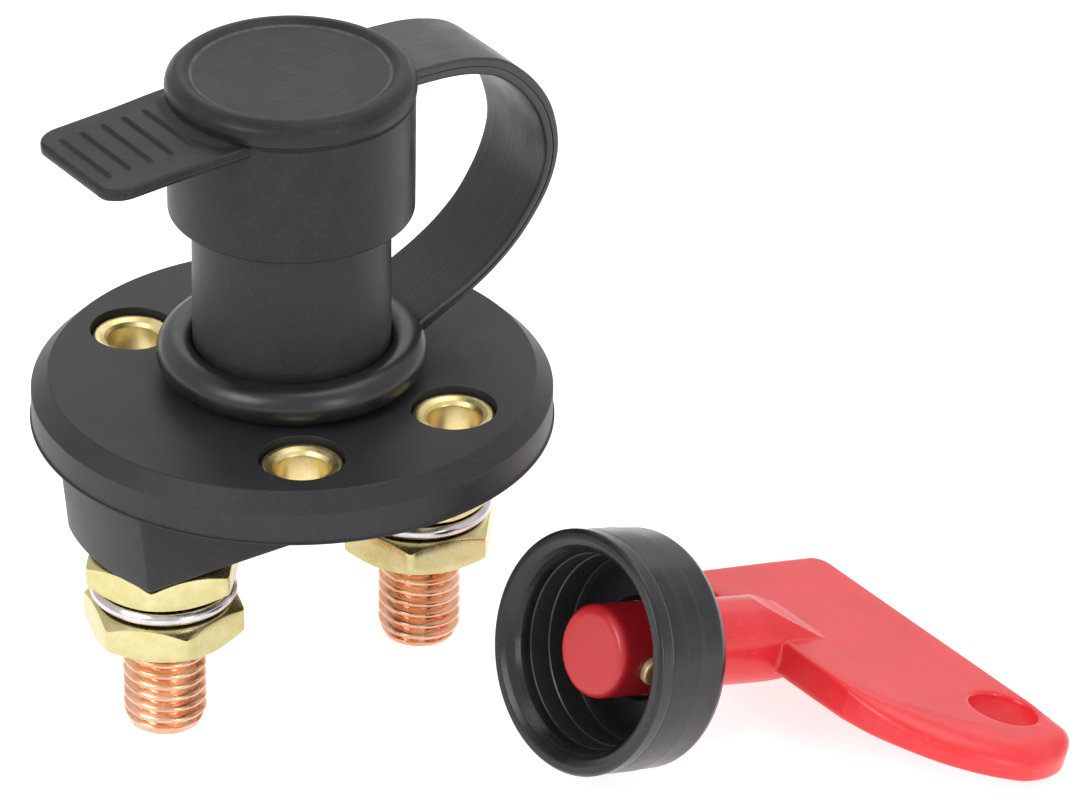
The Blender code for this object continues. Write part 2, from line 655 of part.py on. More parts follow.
def build_pull_tab():
    """A ribbed tab towards -X, with its origin on the root and its end drooping."""
    # The root follows the skirt's wall, so its corners reach into the round.
    root_half = math.degrees(math.asin(TAB_HALF_W / TAB_ROOT_R))
    corner_x = TAB_END_X + TAB_CORNER_R
    corner_y = TAB_HALF_W - TAB_CORNER_R
    outline = (arc(0.0, 0.0, TAB_ROOT_R, 180 + root_half, 180 - root_half, steps=10)
               + arc(corner_x, corner_y, TAB_CORNER_R, 90, 180, steps=5)
               + arc(corner_x, -corner_y, TAB_CORNER_R, 180, 270, steps=5))
    tab = plate_from_outline("pull_tab_form", [(x + TAB_ROOT_R, y) for x, y in outline],
                             TAB_T / 2)
    tab.location = mm(-TAB_ROOT_R, 0.0, TAB_TOP_Z - TAB_T / 2)
    tab.rotation_euler = (0.0, math.radians(-TAB_DROOP_DEG), 0.0)
    for index, rib_x in enumerate(RIB_XS):
        rib = box("tab_rib_%d" % index, (RIB_W, 2 * RIB_HALF_L, RIB_H + RIB_SINK),
                  centre=(rib_x + TAB_ROOT_R, 0.0, TAB_T / 2 + RIB_H / 2 - RIB_DROP))
        rib.location = tab.location
        rib.rotation_euler = tab.rotation_euler
        boolean(tab, rib, 'UNION')
    return tab


def build_cap():
    cap = turned("cover_cap", [
        (0.0, CAP_DISC_Z), (CAP_DISC_R, CAP_DISC_Z),
        # Raised rim and bead.
        (12.0, CAP_DISC_Z + 0.35), (12.7, CAP_DISC_Z + 0.65), (13.5, CAP_DISC_Z + 0.45),
        (14.2, CAP_DISC_Z - 0.35), (CAP_BEAD_R, CAP_DISC_Z - 1.5), (CAP_BEAD_R, CAP_DISC_Z - 2.4),
        # Skirt and bore.
        (CAP_SKIRT_R, CAP_DISC_Z - 2.9), (CAP_SKIRT_R, CAP_BOTTOM + 0.25),
        (CAP_SKIRT_R - 0.25, CAP_BOTTOM), (CAP_BORE_R + 0.2, CAP_BOTTOM),
        (CAP_BORE_R, CAP_BOTTOM + 0.2), (CAP_BORE_R, CAP_CEILING), (0.0, CAP_CEILING)], steps=56)
    boolean(cap, build_pull_tab(), 'UNION')
    finish(cap, black_rubber, sharp_deg=40.0)


# ---- key -----------------------------------------------------------------------------------------
def build_key_axis():
    heading, slope, roll = (math.radians(angle) for angle in
                            (KEY_HEADING_DEG, KEY_SLOPE_DEG, KEY_ROLL_DEG))
    axis = Vector((math.cos(heading) * math.cos(slope), math.sin(heading) * math.cos(slope),
                   -math.sin(slope)))
    level = Vector((math.sin(heading), -math.cos(heading), 0.0))
    up = level.cross(axis)
    lever = (math.cos(roll) * level + math.sin(roll) * up).normalized()
    empty = new_empty("key_turn_axis")
    empty.matrix_world = (Matrix.Translation(Vector(KEY_TIP) * MM)
                          @ Matrix((lever, axis.cross(lever), axis)).transposed().to_4x4())
    return empty


def place_on_key(ob, key_axis, location=(0.0, 0.0, 0.0), rotation=(0.0, 0.0, 0.0)):
    ob.parent = key_axis
    ob.location = mm(*location)
    ob.rotation_euler = rotation
    return ob


def build_blade(key_axis):
    """Flat lever plate in the key's XZ plane, with the lanyard hole through it."""
    hub_x = HUB_R - BLADE_HUB_OVERLAP
    outline = (
        [(hub_x, BLADE_NEAR)]
        + [(x, BLADE_NEAR + height) for x, height in BLADE_ARM]
        + [(27.4, BLADE_FAR)]
        + arc(BLADE_CORNER_X, BLADE_FAR - BLADE_CORNER_R, BLADE_CORNER_R, 90, 180, steps=4)
        + [(x, BLADE_NEAR + height) for x, height in BLADE_HEEL]
        + [(-hub_x, BLADE_NEAR)])
    blade = plate_from_outline("blade_form", outline, BLADE_HALF_T)
    place_on_key(blade, key_axis, rotation=(QUARTER_TURN, 0.0, 0.0))
    bevel(blade, BLADE_EDGE, segments=2, angle=60.0)
    lanyard = rod("lanyard_hole", LANYARD_R, -LANYARD_CUT_HALF_L, LANYARD_CUT_HALF_L, sides=40)
    boolean(blade, place_on_key(lanyard, key_axis, location=(LANYARD_X, 0.0, LANYARD_Z),
                                rotation=(QUARTER_TURN, 0.0, 0.0)))
    return blade


def build_key_handle(key_axis):
    key = turned("key_handle", [
        (0.0, HUB_END), (HUB_R, HUB_END), (HUB_R, HUB_START), (SHANK_R, SHANK_END),
        (SHANK_R, SHANK_ROUND), (SHANK_R - 0.17 * SHANK_ROUND, 0.42 * SHANK_ROUND),
        (SHANK_R - 0.5 * SHANK_ROUND, 0.13 * SHANK_ROUND), (SHANK_R - SHANK_ROUND, 0.0),
        (0.0, 0.0)], steps=56)
    place_on_key(key, key_axis)
    # Both cuts lean towards local -Y as Z rises: the one at +Y deepens towards the
    # blade, the one at -Y deepens towards the shank.
    tilt = math.atan2(HUB_R - BLADE_HALF_T + FACET_EXTRA, HUB_END - HUB_FACET_START)
    for sign, suffix, half_turn in ((-1, "front", math.pi), (1, "back", 0.0)):
        flat = box("hub_flat_" + suffix, FACET_CUTTER, centre=(0.0, FACET_CUTTER[1] / 2, 0.0))
        boolean(key, place_on_key(flat, key_axis, location=(0.0, sign * HUB_R, HUB_FACET_START),
                                  rotation=(sign * tilt, 0.0, half_turn)))
    boolean(key, build_blade(key_axis), 'UNION')
    pin_hole = rod("pin_hole", PIN_R + PIN_HOLE_CLEARANCE, -PIN_CUT_HALF_L, PIN_CUT_HALF_L,
                   sides=24)
    boolean(key, place_on_key(pin_hole, key_axis, location=(0.0, 0.0, PIN_Z),
                              rotation=(0.0, QUARTER_TURN, 0.0)))
    finish(key, red_plastic, sharp_deg=40.0)


def build_key_pin(key_axis):
    pin = turned("key_pin", [
        (0.0, PIN_HALF_L), (PIN_R - PIN_EDGE, PIN_HALF_L), (PIN_R, PIN_HALF_L - PIN_EDGE),
        (PIN_R, PIN_EDGE - PIN_HALF_L), (PIN_R - PIN_EDGE, -PIN_HALF_L), (0.0, -PIN_HALF_L)],
        steps=24)
    place_on_key(pin, key_axis, location=(0.0, 0.0, PIN_Z), rotation=(0.0, QUARTER_TURN, 0.0))
    finish(pin, pin_brass)


def build_key_boot(key_axis):
    boot = turned("key_boot", [
        # Outside, from the back face to the front rim.
        (BOOT_BORE_R, BOOT_BACK), (12.6, BOOT_BACK), (13.5, BOOT_BACK - 0.3),
        (14.1, BOOT_BACK - 1.1), (BOOT_R - 0.08, BOOT_BACK - 2.6), (BOOT_R, BOOT_FRONT + 0.5),
        (BOOT_R - 0.35, BOOT_FRONT), (BOOT_LIP_R, BOOT_FRONT),
        # Stepped inside, back to the bore.
        (12.0, BOOT_FRONT + 0.8), (12.0, 1.1), (11.35, 1.4), (11.35, 3.8), (10.9, 4.1),
        (10.9, 7.0), (10.5, 7.4), (BOOT_BORE_R, 7.4)], steps=48, closed=True)
    place_on_key(boot, key_axis)
    finish(boot, boot_rubber)


def build_key():
    key_axis = build_key_axis()
    build_key_handle(key_axis)
    build_key_pin(key_axis)
    build_key_boot(key_axis)


def lift_to_datum():
    """Parents everything outside the key to the datum, which carries the key's axis too."""
    datum = new_empty("datum")
    datum.location = mm(0.0, 0.0, -PLATE_BOTTOM)
    for ob in list(parts.objects) + list(cutters.objects):
        if ob.parent is None and ob is not datum:
            ob.parent = datum


build_housing()
build_eyelets()
build_base_plate()
build_terminals()
build_sleeve()
build_plunger()
build_bridge()
build_spring()
build_cover_ring()
build_strap()
build_cap()
build_key()
lift_to_datum()
bpy.context.view_layer.update()
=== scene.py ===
"""Looks for a battery switch with a removable key, around its CAD frame.

The switch axis is Z and its two studs lie on X. The cover's strap bows out towards +X and the
cap's tab points to -X. The key lies on the -Y side with its blade towards +X. Shapes are in
millimetres from the flange's underside, and the switch stands on its stud ends.
"""

import itertools
import math

import bpy
import bmesh
import numpy as np
from mathutils import Matrix, Vector


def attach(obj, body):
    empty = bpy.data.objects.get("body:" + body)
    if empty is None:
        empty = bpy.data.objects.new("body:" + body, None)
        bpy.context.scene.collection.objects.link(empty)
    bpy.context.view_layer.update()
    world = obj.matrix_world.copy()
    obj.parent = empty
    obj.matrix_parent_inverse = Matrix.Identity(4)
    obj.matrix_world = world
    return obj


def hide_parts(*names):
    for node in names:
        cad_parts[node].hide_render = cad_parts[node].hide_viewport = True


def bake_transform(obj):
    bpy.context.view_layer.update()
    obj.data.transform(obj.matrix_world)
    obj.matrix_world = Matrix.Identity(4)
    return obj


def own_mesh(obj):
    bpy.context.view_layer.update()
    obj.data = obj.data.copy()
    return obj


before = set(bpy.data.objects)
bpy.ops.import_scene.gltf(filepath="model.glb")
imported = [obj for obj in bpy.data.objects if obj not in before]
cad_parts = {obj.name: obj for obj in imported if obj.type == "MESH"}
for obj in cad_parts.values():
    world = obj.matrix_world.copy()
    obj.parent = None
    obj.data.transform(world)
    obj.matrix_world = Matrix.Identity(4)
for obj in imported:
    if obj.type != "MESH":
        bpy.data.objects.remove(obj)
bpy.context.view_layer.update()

# ------------------------------------------------------------------ shared sizes, mm
MM = 0.001                       # one millimetre in metres
LIFT = 11.8                      # flange's underside above the frame's origin
FLANGE_TOP = 6.05
STUD_X = 18.05
HOLE_CIRCLE = 21.0
HOLES = [(HOLE_CIRCLE * math.cos(math.radians(a)), HOLE_CIRCLE * math.sin(math.radians(a)))
         for a in (60.0, 120.0, 240.0, 300.0)]
CAVITY_HALF_X, CAVITY_HALF_Y = 24.4, 7.1
SHARP_ANGLE = 38.0               # default angle above which an edge stays sharp, degrees
KEY_TIP = (15.487, -39.266, -18.032)
VIEW_TURN = math.radians(33.0)   # camera's heading about Z


# ------------------------------------------------------------------ number helpers
def smoothstep(x):
    x = np.clip(x, 0.0, 1.0)
    return x * x * (3.0 - 2.0 * x)


def smooth_min(a, b, width):
    overlap = np.clip(width - np.abs(a - b), 0, None) / width
    return np.minimum(a, b) - overlap * overlap * width * 0.25


def smooth_max(a, b, width):
    return -smooth_min(-a, -b, width)


def quarter_turn(segments, first=0):
    """Angles from 0 to 90 degrees, leaving out those before the first."""
    return [math.pi / 2 * i / segments for i in range(first, segments + 1)]


def spline(points, per_span):
    """Catmull-Rom curve through tuples of any length."""
    out = []
    last = len(points) - 1
    for k in range(last):
        span = (points[max(k - 1, 0)], points[k], points[k + 1], points[min(k + 2, last)])
        for i in range(per_span):
            t = i / per_span
            out.append(tuple(
                0.5 * (2 * b + (c - a) * t + (2 * a - 5 * b + 4 * c - d) * t * t
                       + (3 * b - a - 3 * c + d) * t ** 3)
                for a, b, c, d in zip(*span)))
    out.append(tuple(points[-1]))
    return out


# ------------------------------------------------------------------ mesh helpers
def shade(ob, sharp, weighted):
    ob.data.shade_smooth()
    ob.data.set_sharp_from_angle(angle=math.radians(sharp))
    if weighted:
        mod = ob.modifiers.new("Weighted", 'WEIGHTED_NORMAL')
        mod.keep_sharp = True
        mod.weight = 60


def build(name, points, faces, sharp=SHARP_ANGLE, matrix=None, weighted=False, grain=None):
    """A mesh object from millimetre points; grain is a vector per point for drawn streaks."""
    mesh = bpy.data.meshes.new(name)
    points = np.asarray(points, float)
    if matrix is not None:
        m = np.array(matrix, float)
        points = points @ m[:3, :3].T + m[:3, 3]
    points = (points + np.array([0.0, 0.0, LIFT])) * MM
    mesh.from_pydata(points.tolist(), [], [tuple(int(i) for i in face) for face in faces])
    mesh.update()
    bm = bmesh.new()
    bm.from_mesh(mesh)
    bmesh.ops.recalc_face_normals(bm, faces=bm.faces)
    bm.to_mesh(mesh)
    bm.free()
    ob = bpy.data.objects.new(name, mesh)
    bpy.context.scene.collection.objects.link(ob)
    if grain is not None:
        attribute = mesh.attributes.new("grain", 'FLOAT_VECTOR', 'POINT')
        attribute.data.foreach_set("vector", np.asarray(grain, np.float32).ravel())
    shade(ob, sharp, weighted)
    return ob


def finish(ob, look, node=None, part="switch_body"):
    look.dress(ob)
    if part:
        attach(ob, part)
    if node:
        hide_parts(node)


def fillet(profile, segments=5, closed=False):
    """Rounds the corners of (r, z, rounding) points; a point without a rounding stays sharp."""
    out = []
    count = len(profile)
    for i, point in enumerate(profile):
        rounding = point[2] if len(point) > 2 else 0.0
        if rounding <= 0 or (not closed and i in (0, count - 1)):
            out.append(point[:2])
            continue
        corner = np.array(point[:2], float)
        back = np.array(profile[i - 1][:2], float) - corner
        ahead = np.array(profile[(i + 1) % count][:2], float) - corner
        back_length, ahead_length = np.linalg.norm(back), np.linalg.norm(ahead)
        back, ahead = back / back_length, ahead / ahead_length
        half = 0.5 * math.acos(max(-1.0, min(1.0, float(back @ ahead))))
        trim = min(rounding / max(math.tan(half), 1e-6), 0.49 * back_length, 0.49 * ahead_length)
        radius = trim * math.tan(half)
        middle = back + ahead
        centre = corner + middle / np.linalg.norm(middle) * (radius / math.sin(half))
        start, end = corner + back * trim, corner + ahead * trim
        from_angle = math.atan2(start[1] - centre[1], start[0] - centre[0])
        to_angle = math.atan2(end[1] - centre[1], end[0] - centre[0])
        sweep = (to_angle - from_angle + math.pi) % math.tau - math.pi
        for k in range(segments + 1):
            angle = from_angle + sweep * k / segments
            out.append((centre[0] + radius * math.cos(angle), centre[1] + radius * math.sin(angle)))
    return out


def lathe_data(profile, steps, closed=False):
    """Points and faces of a turned (r, z) profile; a point on the axis becomes one vertex."""
    points, rows = [], []
    for r, z in profile:
        first = len(points)
        if r < 1e-6:
            points.append((0.0, 0.0, z))
            rows.append([first] * steps)
        else:
            for k in range(steps):
                angle = math.tau * k / steps
                points.append((r * math.cos(angle), r * math.sin(angle), z))
            rows.append(list(range(first, first + steps)))
    faces = []
    pairs = list(zip(rows, rows[1:]))
    if closed:
        pairs.append((rows[-1], rows[0]))
    for low, high in pairs:
        for k in range(steps):
            j = (k + 1) % steps
            quad = [low[k], low[j], high[j], high[k]]
            quad = [q for i, q in enumerate(quad) if q != quad[i - 1]]
            if len(set(quad)) >= 3:
                faces.append(quad)
    return points, faces


def lathe(name, profile, steps, closed=False, centre=(0.0, 0.0), matrix=None, sharp=SHARP_ANGLE,
          weighted=True, around=False):
    """A turned piece; around gives it a grain that runs round the axis."""
    points, faces = lathe_data(profile, steps, closed)
    grain = None
    if around:
        grain = [(14.0 * abs(math.atan2(y, x)), z, math.hypot(x, y)) for x, y, z in points]
    points = [(x + centre[0], y + centre[1], z) for x, y, z in points]
    return build(name, points, faces, sharp, matrix, weighted, grain)


def loft_data(sections, ring=False, caps=True):
    """Points and faces of a skin over equal loops of points."""
    size = len(sections[0])
    count = len(sections)
    points = [p for section in sections for p in section]
    faces = []
    for i in range(count if ring else count - 1):
        a, b = i * size, ((i + 1) % count) * size
        for k in range(size):
            j = (k + 1) % size
            faces.append((a + k, a + j, b + j, b + k))
    if caps and not ring:
        faces.append(tuple(reversed(range(size))))
        faces.append(tuple(range((count - 1) * size, count * size)))
    return points, faces


def box(name, half_x, half_y, bottom, top):
    corners = [(-half_x, -half_y), (half_x, -half_y), (half_x, half_y), (-half_x, half_y)]
    return build(name, [(x, y, z) for z in (bottom, top) for x, y in corners],
                 [(3, 2, 1, 0), (4, 5, 6, 7), (0, 1, 5, 4), (1, 2, 6, 5), (2, 3, 7, 6), (3, 0, 4, 7)])


def cut(ob, tools):
    """Applies Boolean cuts and leaves a plain mesh behind."""
    for tool in tools:
        mod = ob.modifiers.new("cut", 'BOOLEAN')
        mod.operation = 'DIFFERENCE'
        mod.solver = 'EXACT'
        mod.object = tool
    bpy.context.view_layer.update()
    graph = bpy.context.evaluated_depsgraph_get()
    mesh = bpy.data.meshes.new_from_object(ob.evaluated_get(graph))
    ob.modifiers.clear()
    ob.data = mesh
    for tool in tools:
        bpy.data.objects.remove(tool, do_unlink=True)
    shade(ob, SHARP_ANGLE, weighted=True)


def surface_net(field, low, high, step):
    """Quads on the zero level of a field that is negative inside, pulled onto it by Newton steps."""
    axes = [np.arange(start, stop + step, step) for start, stop in zip(low, high)]
    grid = np.stack(np.meshgrid(*axes, indexing="ij"), -1)
    values = field(grid.reshape(-1, 3)).reshape(grid.shape[:3])
    inside = values < 0
    cells = tuple(n - 1 for n in values.shape)

    def corner(array, offset):
        return array[tuple(slice(o, o + n) for o, n in zip(offset, cells))]

    # Each cell's vertex is the mean of the crossings on its edges.
    total = np.zeros((*cells, 3))
    count = np.zeros(cells)
    for axis in range(3):
        others = [a for a in range(3) if a != axis]
        for i, j in itertools.product((0, 1), repeat=2):
            start = [0, 0, 0]
            start[others[0]], start[others[1]] = i, j
            end = list(start)
            end[axis] = 1
            value0, value1 = corner(values, start), corner(values, end)
            hit = corner(inside, start) != corner(inside, end)
            t = np.where(hit, value0 / np.where(hit, value0 - value1, 1.0), 0.0)
            place = corner(grid, start) + (corner(grid, end) - corner(grid, start)) * t[..., None]
            total += place * hit[..., None]
            count += hit
    used = count > 0
    index = -np.ones(used.shape, int)
    index[used] = np.arange(used.sum())
    points = total[used] / count[used][:, None]

    # Each crossed grid edge joins the four cells round it.
    quads = []
    for axis in range(3):
        others = [a for a in range(3) if a != axis]
        start = [slice(1, n) for n in cells]
        end = list(start)
        start[axis] = slice(0, cells[axis])
        end[axis] = slice(1, cells[axis] + 1)
        start_inside, end_inside = inside[tuple(start)], inside[tuple(end)]
        base = np.argwhere(start_inside != end_inside)
        keep_order = start_inside[tuple(base.T)]
        if axis == 1:
            keep_order = ~keep_order
        base[:, others] += 1
        u, v = np.eye(3, dtype=int)[others]
        around = (base - u - v, base - v, base, base - u)
        quad = np.stack([index[tuple(cell.T)] for cell in around], 1)
        quad[~keep_order] = quad[~keep_order][:, ::-1]
        quads.append(quad)
    quads = np.concatenate(quads)
    quads = quads[(quads >= 0).all(1)]

    probe = 0.02
    for _ in range(4):
        value = field(points)
        slope = np.stack([(field(points + e) - field(points - e)) / (2 * probe)
                          for e in np.eye(3) * probe], 1)
        steepness = np.maximum((slope * slope).sum(1), 0.05)
        move = -(value / steepness)[:, None] * slope
        size = np.linalg.norm(move, axis=1)
        move *= np.minimum(1.0, 0.5 * step / np.maximum(size, 1e-9))[:, None]
        points = points + move
    return points, quads


# ------------------------------------------------------------------ material helpers
class Look:
    """Node chains on one Principled material, driven by object coordinates in millimetres."""

    def __init__(self, name, metallic=0.0, ior=1.5):
        self.name = name
        self.material = bpy.data.materials.new(name)
        self.material.use_nodes = True
        self.tree = self.material.node_tree
        self.shader = self.tree.nodes["Principled BSDF"]
        self.set("Metallic", metallic)
        self.set("IOR", ior)
        self.mm = self.scaled(self.node("ShaderNodeTexCoord").outputs["Object"], (1000, 1000, 1000))
        self.normal = None

    def feed(self, socket, value):
        """Links a socket, or sets a plain value."""
        if isinstance(value, bpy.types.NodeSocket):
            self.tree.links.new(value, socket)
        else:
            socket.default_value = value

    def set(self, name, value):
        """Feeds an input of the Principled shader."""
        self.feed(self.shader.inputs[name], value)

    def node(self, kind, inputs=None, **settings):
        node = self.tree.nodes.new(kind)
        for name, value in settings.items():
            setattr(node, name, value)
        for key, value in (inputs or {}).items():
            self.feed(node.inputs[key], value)
        return node

    def scaled(self, vector, scale):
        return self.node("ShaderNodeMapping", {"Vector": vector, "Scale": scale}).outputs["Vector"]

    def grain(self, scale):
        attribute = self.node("ShaderNodeAttribute", attribute_name="grain")
        return self.scaled(attribute.outputs["Vector"], scale)

    def noise(self, size, detail, rough, vector=None):
        """Noise with features of about the given size in mm."""
        return self.node("ShaderNodeTexNoise", {
            "Scale": 1.0 / size, "Detail": detail, "Roughness": rough,
            "Vector": vector or self.mm}).outputs["Fac"]

    def ramp(self, value, span, to=(0.0, 1.0)):
        """Maps the span of a value smoothly to another one."""
        return self.node("ShaderNodeMapRange", {
            "Value": value, "From Min": span[0], "From Max": span[1],
            "To Min": to[0], "To Max": to[1]}, interpolation_type='SMOOTHSTEP').outputs["Result"]

    def calc(self, operation, a, b):
        return self.node("ShaderNodeMath", {0: a, 1: b}, operation=operation).outputs[0]

    def average(self, a, b, share):
        """Weighted sum in which a has the given share."""
        return self.calc('ADD', self.calc('MULTIPLY', a, share),
                         self.calc('MULTIPLY', b, 1.0 - share))

    def separate(self, vector):
        return self.node("ShaderNodeSeparateXYZ", {0: vector}).outputs

    def mix(self, factor, a, b):
        a, b = ((*c, 1.0) if isinstance(c, tuple) else c for c in (a, b))
        return self.node("ShaderNodeMix", {0: factor, 6: a, 7: b}, data_type='RGBA').outputs[2]

    def bump(self, height, depth, strength):
        """Adds relief, with its depth in mm, on top of any earlier one."""
        inputs = {"Strength": strength, "Distance": depth * MM, "Height": height}
        if self.normal is not None:
            inputs["Normal"] = self.normal
        self.normal = self.node("ShaderNodeBump", inputs).outputs["Normal"]
        self.set("Normal", self.normal)

    def dress(self, ob):
        ob.data.materials.clear()
        ob.data.materials.append(self.material)


def moulded(name, dark, light, rough, wear, specular):
    """Dark moulding with a fine grain."""
    look = Look(name)
    look.set("Specular IOR Level", specular)
    clouds = look.noise(size=7.0, detail=5, rough=0.6)
    fine = look.noise(size=0.35, detail=3, rough=0.7)
    speck = look.noise(size=0.14, detail=2, rough=0.5)
    base = look.mix(look.ramp(clouds, span=(0.32, 0.68)), dark, light)
    base = look.mix(look.ramp(fine, span=(0.45, 0.85), to=(0.0, 0.35)), base, wear)
    base = look.mix(look.ramp(speck, span=(0.66, 0.78), to=(0.0, 0.5)), base, wear)
    look.set("Base Color", base)
    look.set("Roughness", look.ramp(look.average(clouds, fine, share=0.6), span=(0.3, 0.7), to=rough))
    look.bump(speck, depth=0.02, strength=0.9)
    look.bump(clouds, depth=0.05, strength=0.4)
    return look


def rubber(name, dark, light, rough, dust_and_lit_wall, specular, dust=0.35, streak=None, inner=None):
    """Black rubber with a little bloom.

    streak scales the grain into drawn streaks; inner is painted shade on the floor at the bottom of
    the boot's bore, whose wall also gets painted light from the pale dust tone."""
    look = Look(name)
    look.set("Specular IOR Level", specular)
    clouds = look.noise(size=5.0, detail=6, rough=0.62)
    fine = look.noise(size=0.5, detail=4, rough=0.7)
    base = look.mix(look.ramp(clouds, span=(0.3, 0.72)), dark, light)
    bloom = look.calc('MULTIPLY', look.ramp(fine, span=(0.5, 0.8)),
                      look.ramp(clouds, span=(0.35, 0.7), to=(0.4, 1.0)))
    base = look.mix(look.calc('MULTIPLY', bloom, dust), base, dust_and_lit_wall)
    if streak is not None:
        lines = look.noise(size=1.0, detail=5, rough=0.65, vector=look.grain(streak))
        hair = look.noise(size=0.35, detail=2, rough=0.5, vector=look.grain(streak))
        base = look.mix(look.ramp(lines, span=(0.50, 0.74), to=(0.0, 0.55)), base, dust_and_lit_wall)
        base = look.mix(look.ramp(hair, span=(0.60, 0.72), to=(0.0, 0.4)), base, dark)
        look.bump(lines, depth=0.05, strength=0.7)
    if inner is not None:
        # Painted light and shade in the boot's bore: the wall is lightened towards the pale dust
        # tone, and the floor is darkened towards the inner colour.
        lit_wall_share, bore_shade_share = 0.75, 0.90   # how far each zone takes its own colour
        _, along, radius = look.separate(look.grain((1, 1, 1)))
        wall = look.calc('MULTIPLY', look.ramp(along, span=(0.8, 1.4)),
                         look.ramp(radius, span=(11.75, 11.62)))
        base = look.mix(look.calc('MULTIPLY', wall, lit_wall_share), base, dust_and_lit_wall)
        bore_shade_mask = look.calc('MULTIPLY', look.ramp(along, span=(6.8, 7.3)),
                         look.ramp(radius, span=(11.15, 10.9)))
        base = look.mix(look.calc('MULTIPLY', bore_shade_mask, bore_shade_share), base, inner)
        look.set("Specular IOR Level",
                 look.ramp(bore_shade_mask, span=(0.0, 1.0), to=(specular, specular * 0.3)))
    look.set("Base Color", base)
    look.set("Roughness", look.ramp(clouds, span=(0.3, 0.7), to=rough))
    look.bump(fine, depth=0.015, strength=0.8)
    return look


def metal(name, base, dark, light, rough, stain, spot=None):
    """Plated or drawn metal: cloudy tone, small stains, fine handling marks."""
    look = Look(name, metallic=1.0)
    clouds = look.noise(size=2.6, detail=5, rough=0.6)
    fine = look.noise(size=0.45, detail=4, rough=0.65)
    tone = look.mix(look.ramp(clouds, span=(0.30, 0.70)), base, light)
    patches = look.ramp(look.noise(size=1.1, detail=4, rough=0.7), span=(0.56, 0.78))
    tone = look.mix(look.calc('MULTIPLY', patches, stain), tone, dark)
    if spot is not None:
        spots = look.noise(size=0.6, detail=2, rough=0.5)
        tone = look.mix(look.ramp(spots, span=(0.68, 0.76), to=(0.0, 0.75)), tone, spot)
    stretched = look.scaled(look.mm, scale=(0.12, 1.0, 1.6))
    scratch = look.noise(size=0.25, detail=2, rough=0.5, vector=stretched)
    tone = look.mix(look.ramp(scratch, span=(0.62, 0.75), to=(0.0, 0.22)), tone, dark)
    look.set("Base Color", tone)
    look.set("Roughness", look.ramp(look.average(clouds, fine, share=0.5), span=(0.3, 0.7), to=rough))
    look.bump(fine, depth=0.006, strength=0.8)
    look.bump(clouds, depth=0.02, strength=0.5)
    return look


def cap_rubber():
    """Black rubber with a painted highlight: a paler ring inside the cap's raised rim."""
    look = rubber("black_rubber", dark=(0.0145, 0.015, 0.0167), light=(0.0215, 0.022, 0.0237),
                  rough=(0.32, 0.46), dust=0.5, dust_and_lit_wall=(0.060, 0.059, 0.058), specular=0.21)
    # Painted highlight: a pale ring, broken up by patches, round the edge of the cap's top disc.
    x, y, z = look.separate(look.mm)
    square_sum = look.calc('ADD', look.calc('POWER', x, 2.0), look.calc('POWER', y, 2.0))
    radius = look.calc('SQRT', square_sum, 0.0)
    ring = look.calc('MULTIPLY', look.ramp(radius, span=(11.25, 11.50)),
                     look.ramp(radius, span=(11.85, 11.60)))
    ring = look.calc('MULTIPLY', ring, look.ramp(z, span=(56.3, 56.5)))
    patches = look.noise(size=1.5, detail=4, rough=0.6)
    ring = look.calc('MULTIPLY', ring, look.ramp(patches, span=(0.25, 0.65), to=(0.25, 0.75)))
    plain = look.shader.inputs["Base Color"].links[0].from_socket
    painted_highlight_tone = (0.105, 0.104, 0.102)
    look.set("Base Color", look.mix(ring, plain, painted_highlight_tone))
    return look


def nylon():
    dark, light = (0.42, 0.42, 0.40), (0.56, 0.56, 0.53)
    look = Look("grey_nylon")
    clouds = look.noise(size=4.0, detail=5, rough=0.6)
    fine = look.noise(size=0.4, detail=3, rough=0.6)
    look.set("Base Color", look.mix(look.ramp(clouds, span=(0.3, 0.7)), dark, light))
    look.set("Roughness", look.ramp(fine, span=(0.3, 0.7), to=(0.42, 0.56)))
    look.bump(fine, depth=0.01, strength=0.7)
    return look


def red_plastic():
    """Glossy red with pale scratches, and painted shade that darkens it towards the key's tip."""
    dark, light = (0.64, 0.017, 0.023), (0.71, 0.027, 0.034)
    haze, scratched, painted_tip_shade = (0.74, 0.075, 0.080), (0.90, 0.16, 0.16), (0.36, 0.010, 0.018)
    axis = (0.954156, 0.075743, -0.289639)   # along the key, from its tip
    look = Look("red_plastic", ior=1.48)
    clouds = look.noise(size=8.0, detail=5, rough=0.6)
    fine = look.noise(size=0.5, detail=4, rough=0.65)
    base = look.mix(look.ramp(clouds, span=(0.3, 0.7)), dark, light)
    base = look.mix(look.ramp(fine, span=(0.50, 0.80), to=(0.0, 0.22)), base, haze)
    stretched = look.scaled(look.mm, scale=(0.10, 0.9, 1.2))
    scratch = look.noise(size=0.30, detail=2, rough=0.5, vector=stretched)
    base = look.mix(look.ramp(scratch, span=(0.66, 0.74), to=(0.0, 0.30)), base, scratched)
    # Painted shade: the red darkens over the 9.5 mm nearest the tip, standing in for the shade the
    # boot casts there.
    dot = look.node("ShaderNodeVectorMath", {0: look.mm, 1: axis}, operation='DOT_PRODUCT')
    tip_along = axis[0] * KEY_TIP[0] + axis[1] * KEY_TIP[1] + axis[2] * (KEY_TIP[2] + LIFT)
    along = look.calc('SUBTRACT', dot.outputs["Value"], tip_along)
    base = look.mix(look.ramp(along, span=(9.5, 1.0), to=(0.0, 0.62)), base, painted_tip_shade)
    look.set("Base Color", base)
    look.set("Roughness", look.ramp(clouds, span=(0.3, 0.7), to=(0.27, 0.36)))
    look.set("Specular IOR Level", 0.55)
    look.bump(look.noise(size=1.1, detail=2, rough=0.4), depth=0.012, strength=0.5)
    return look


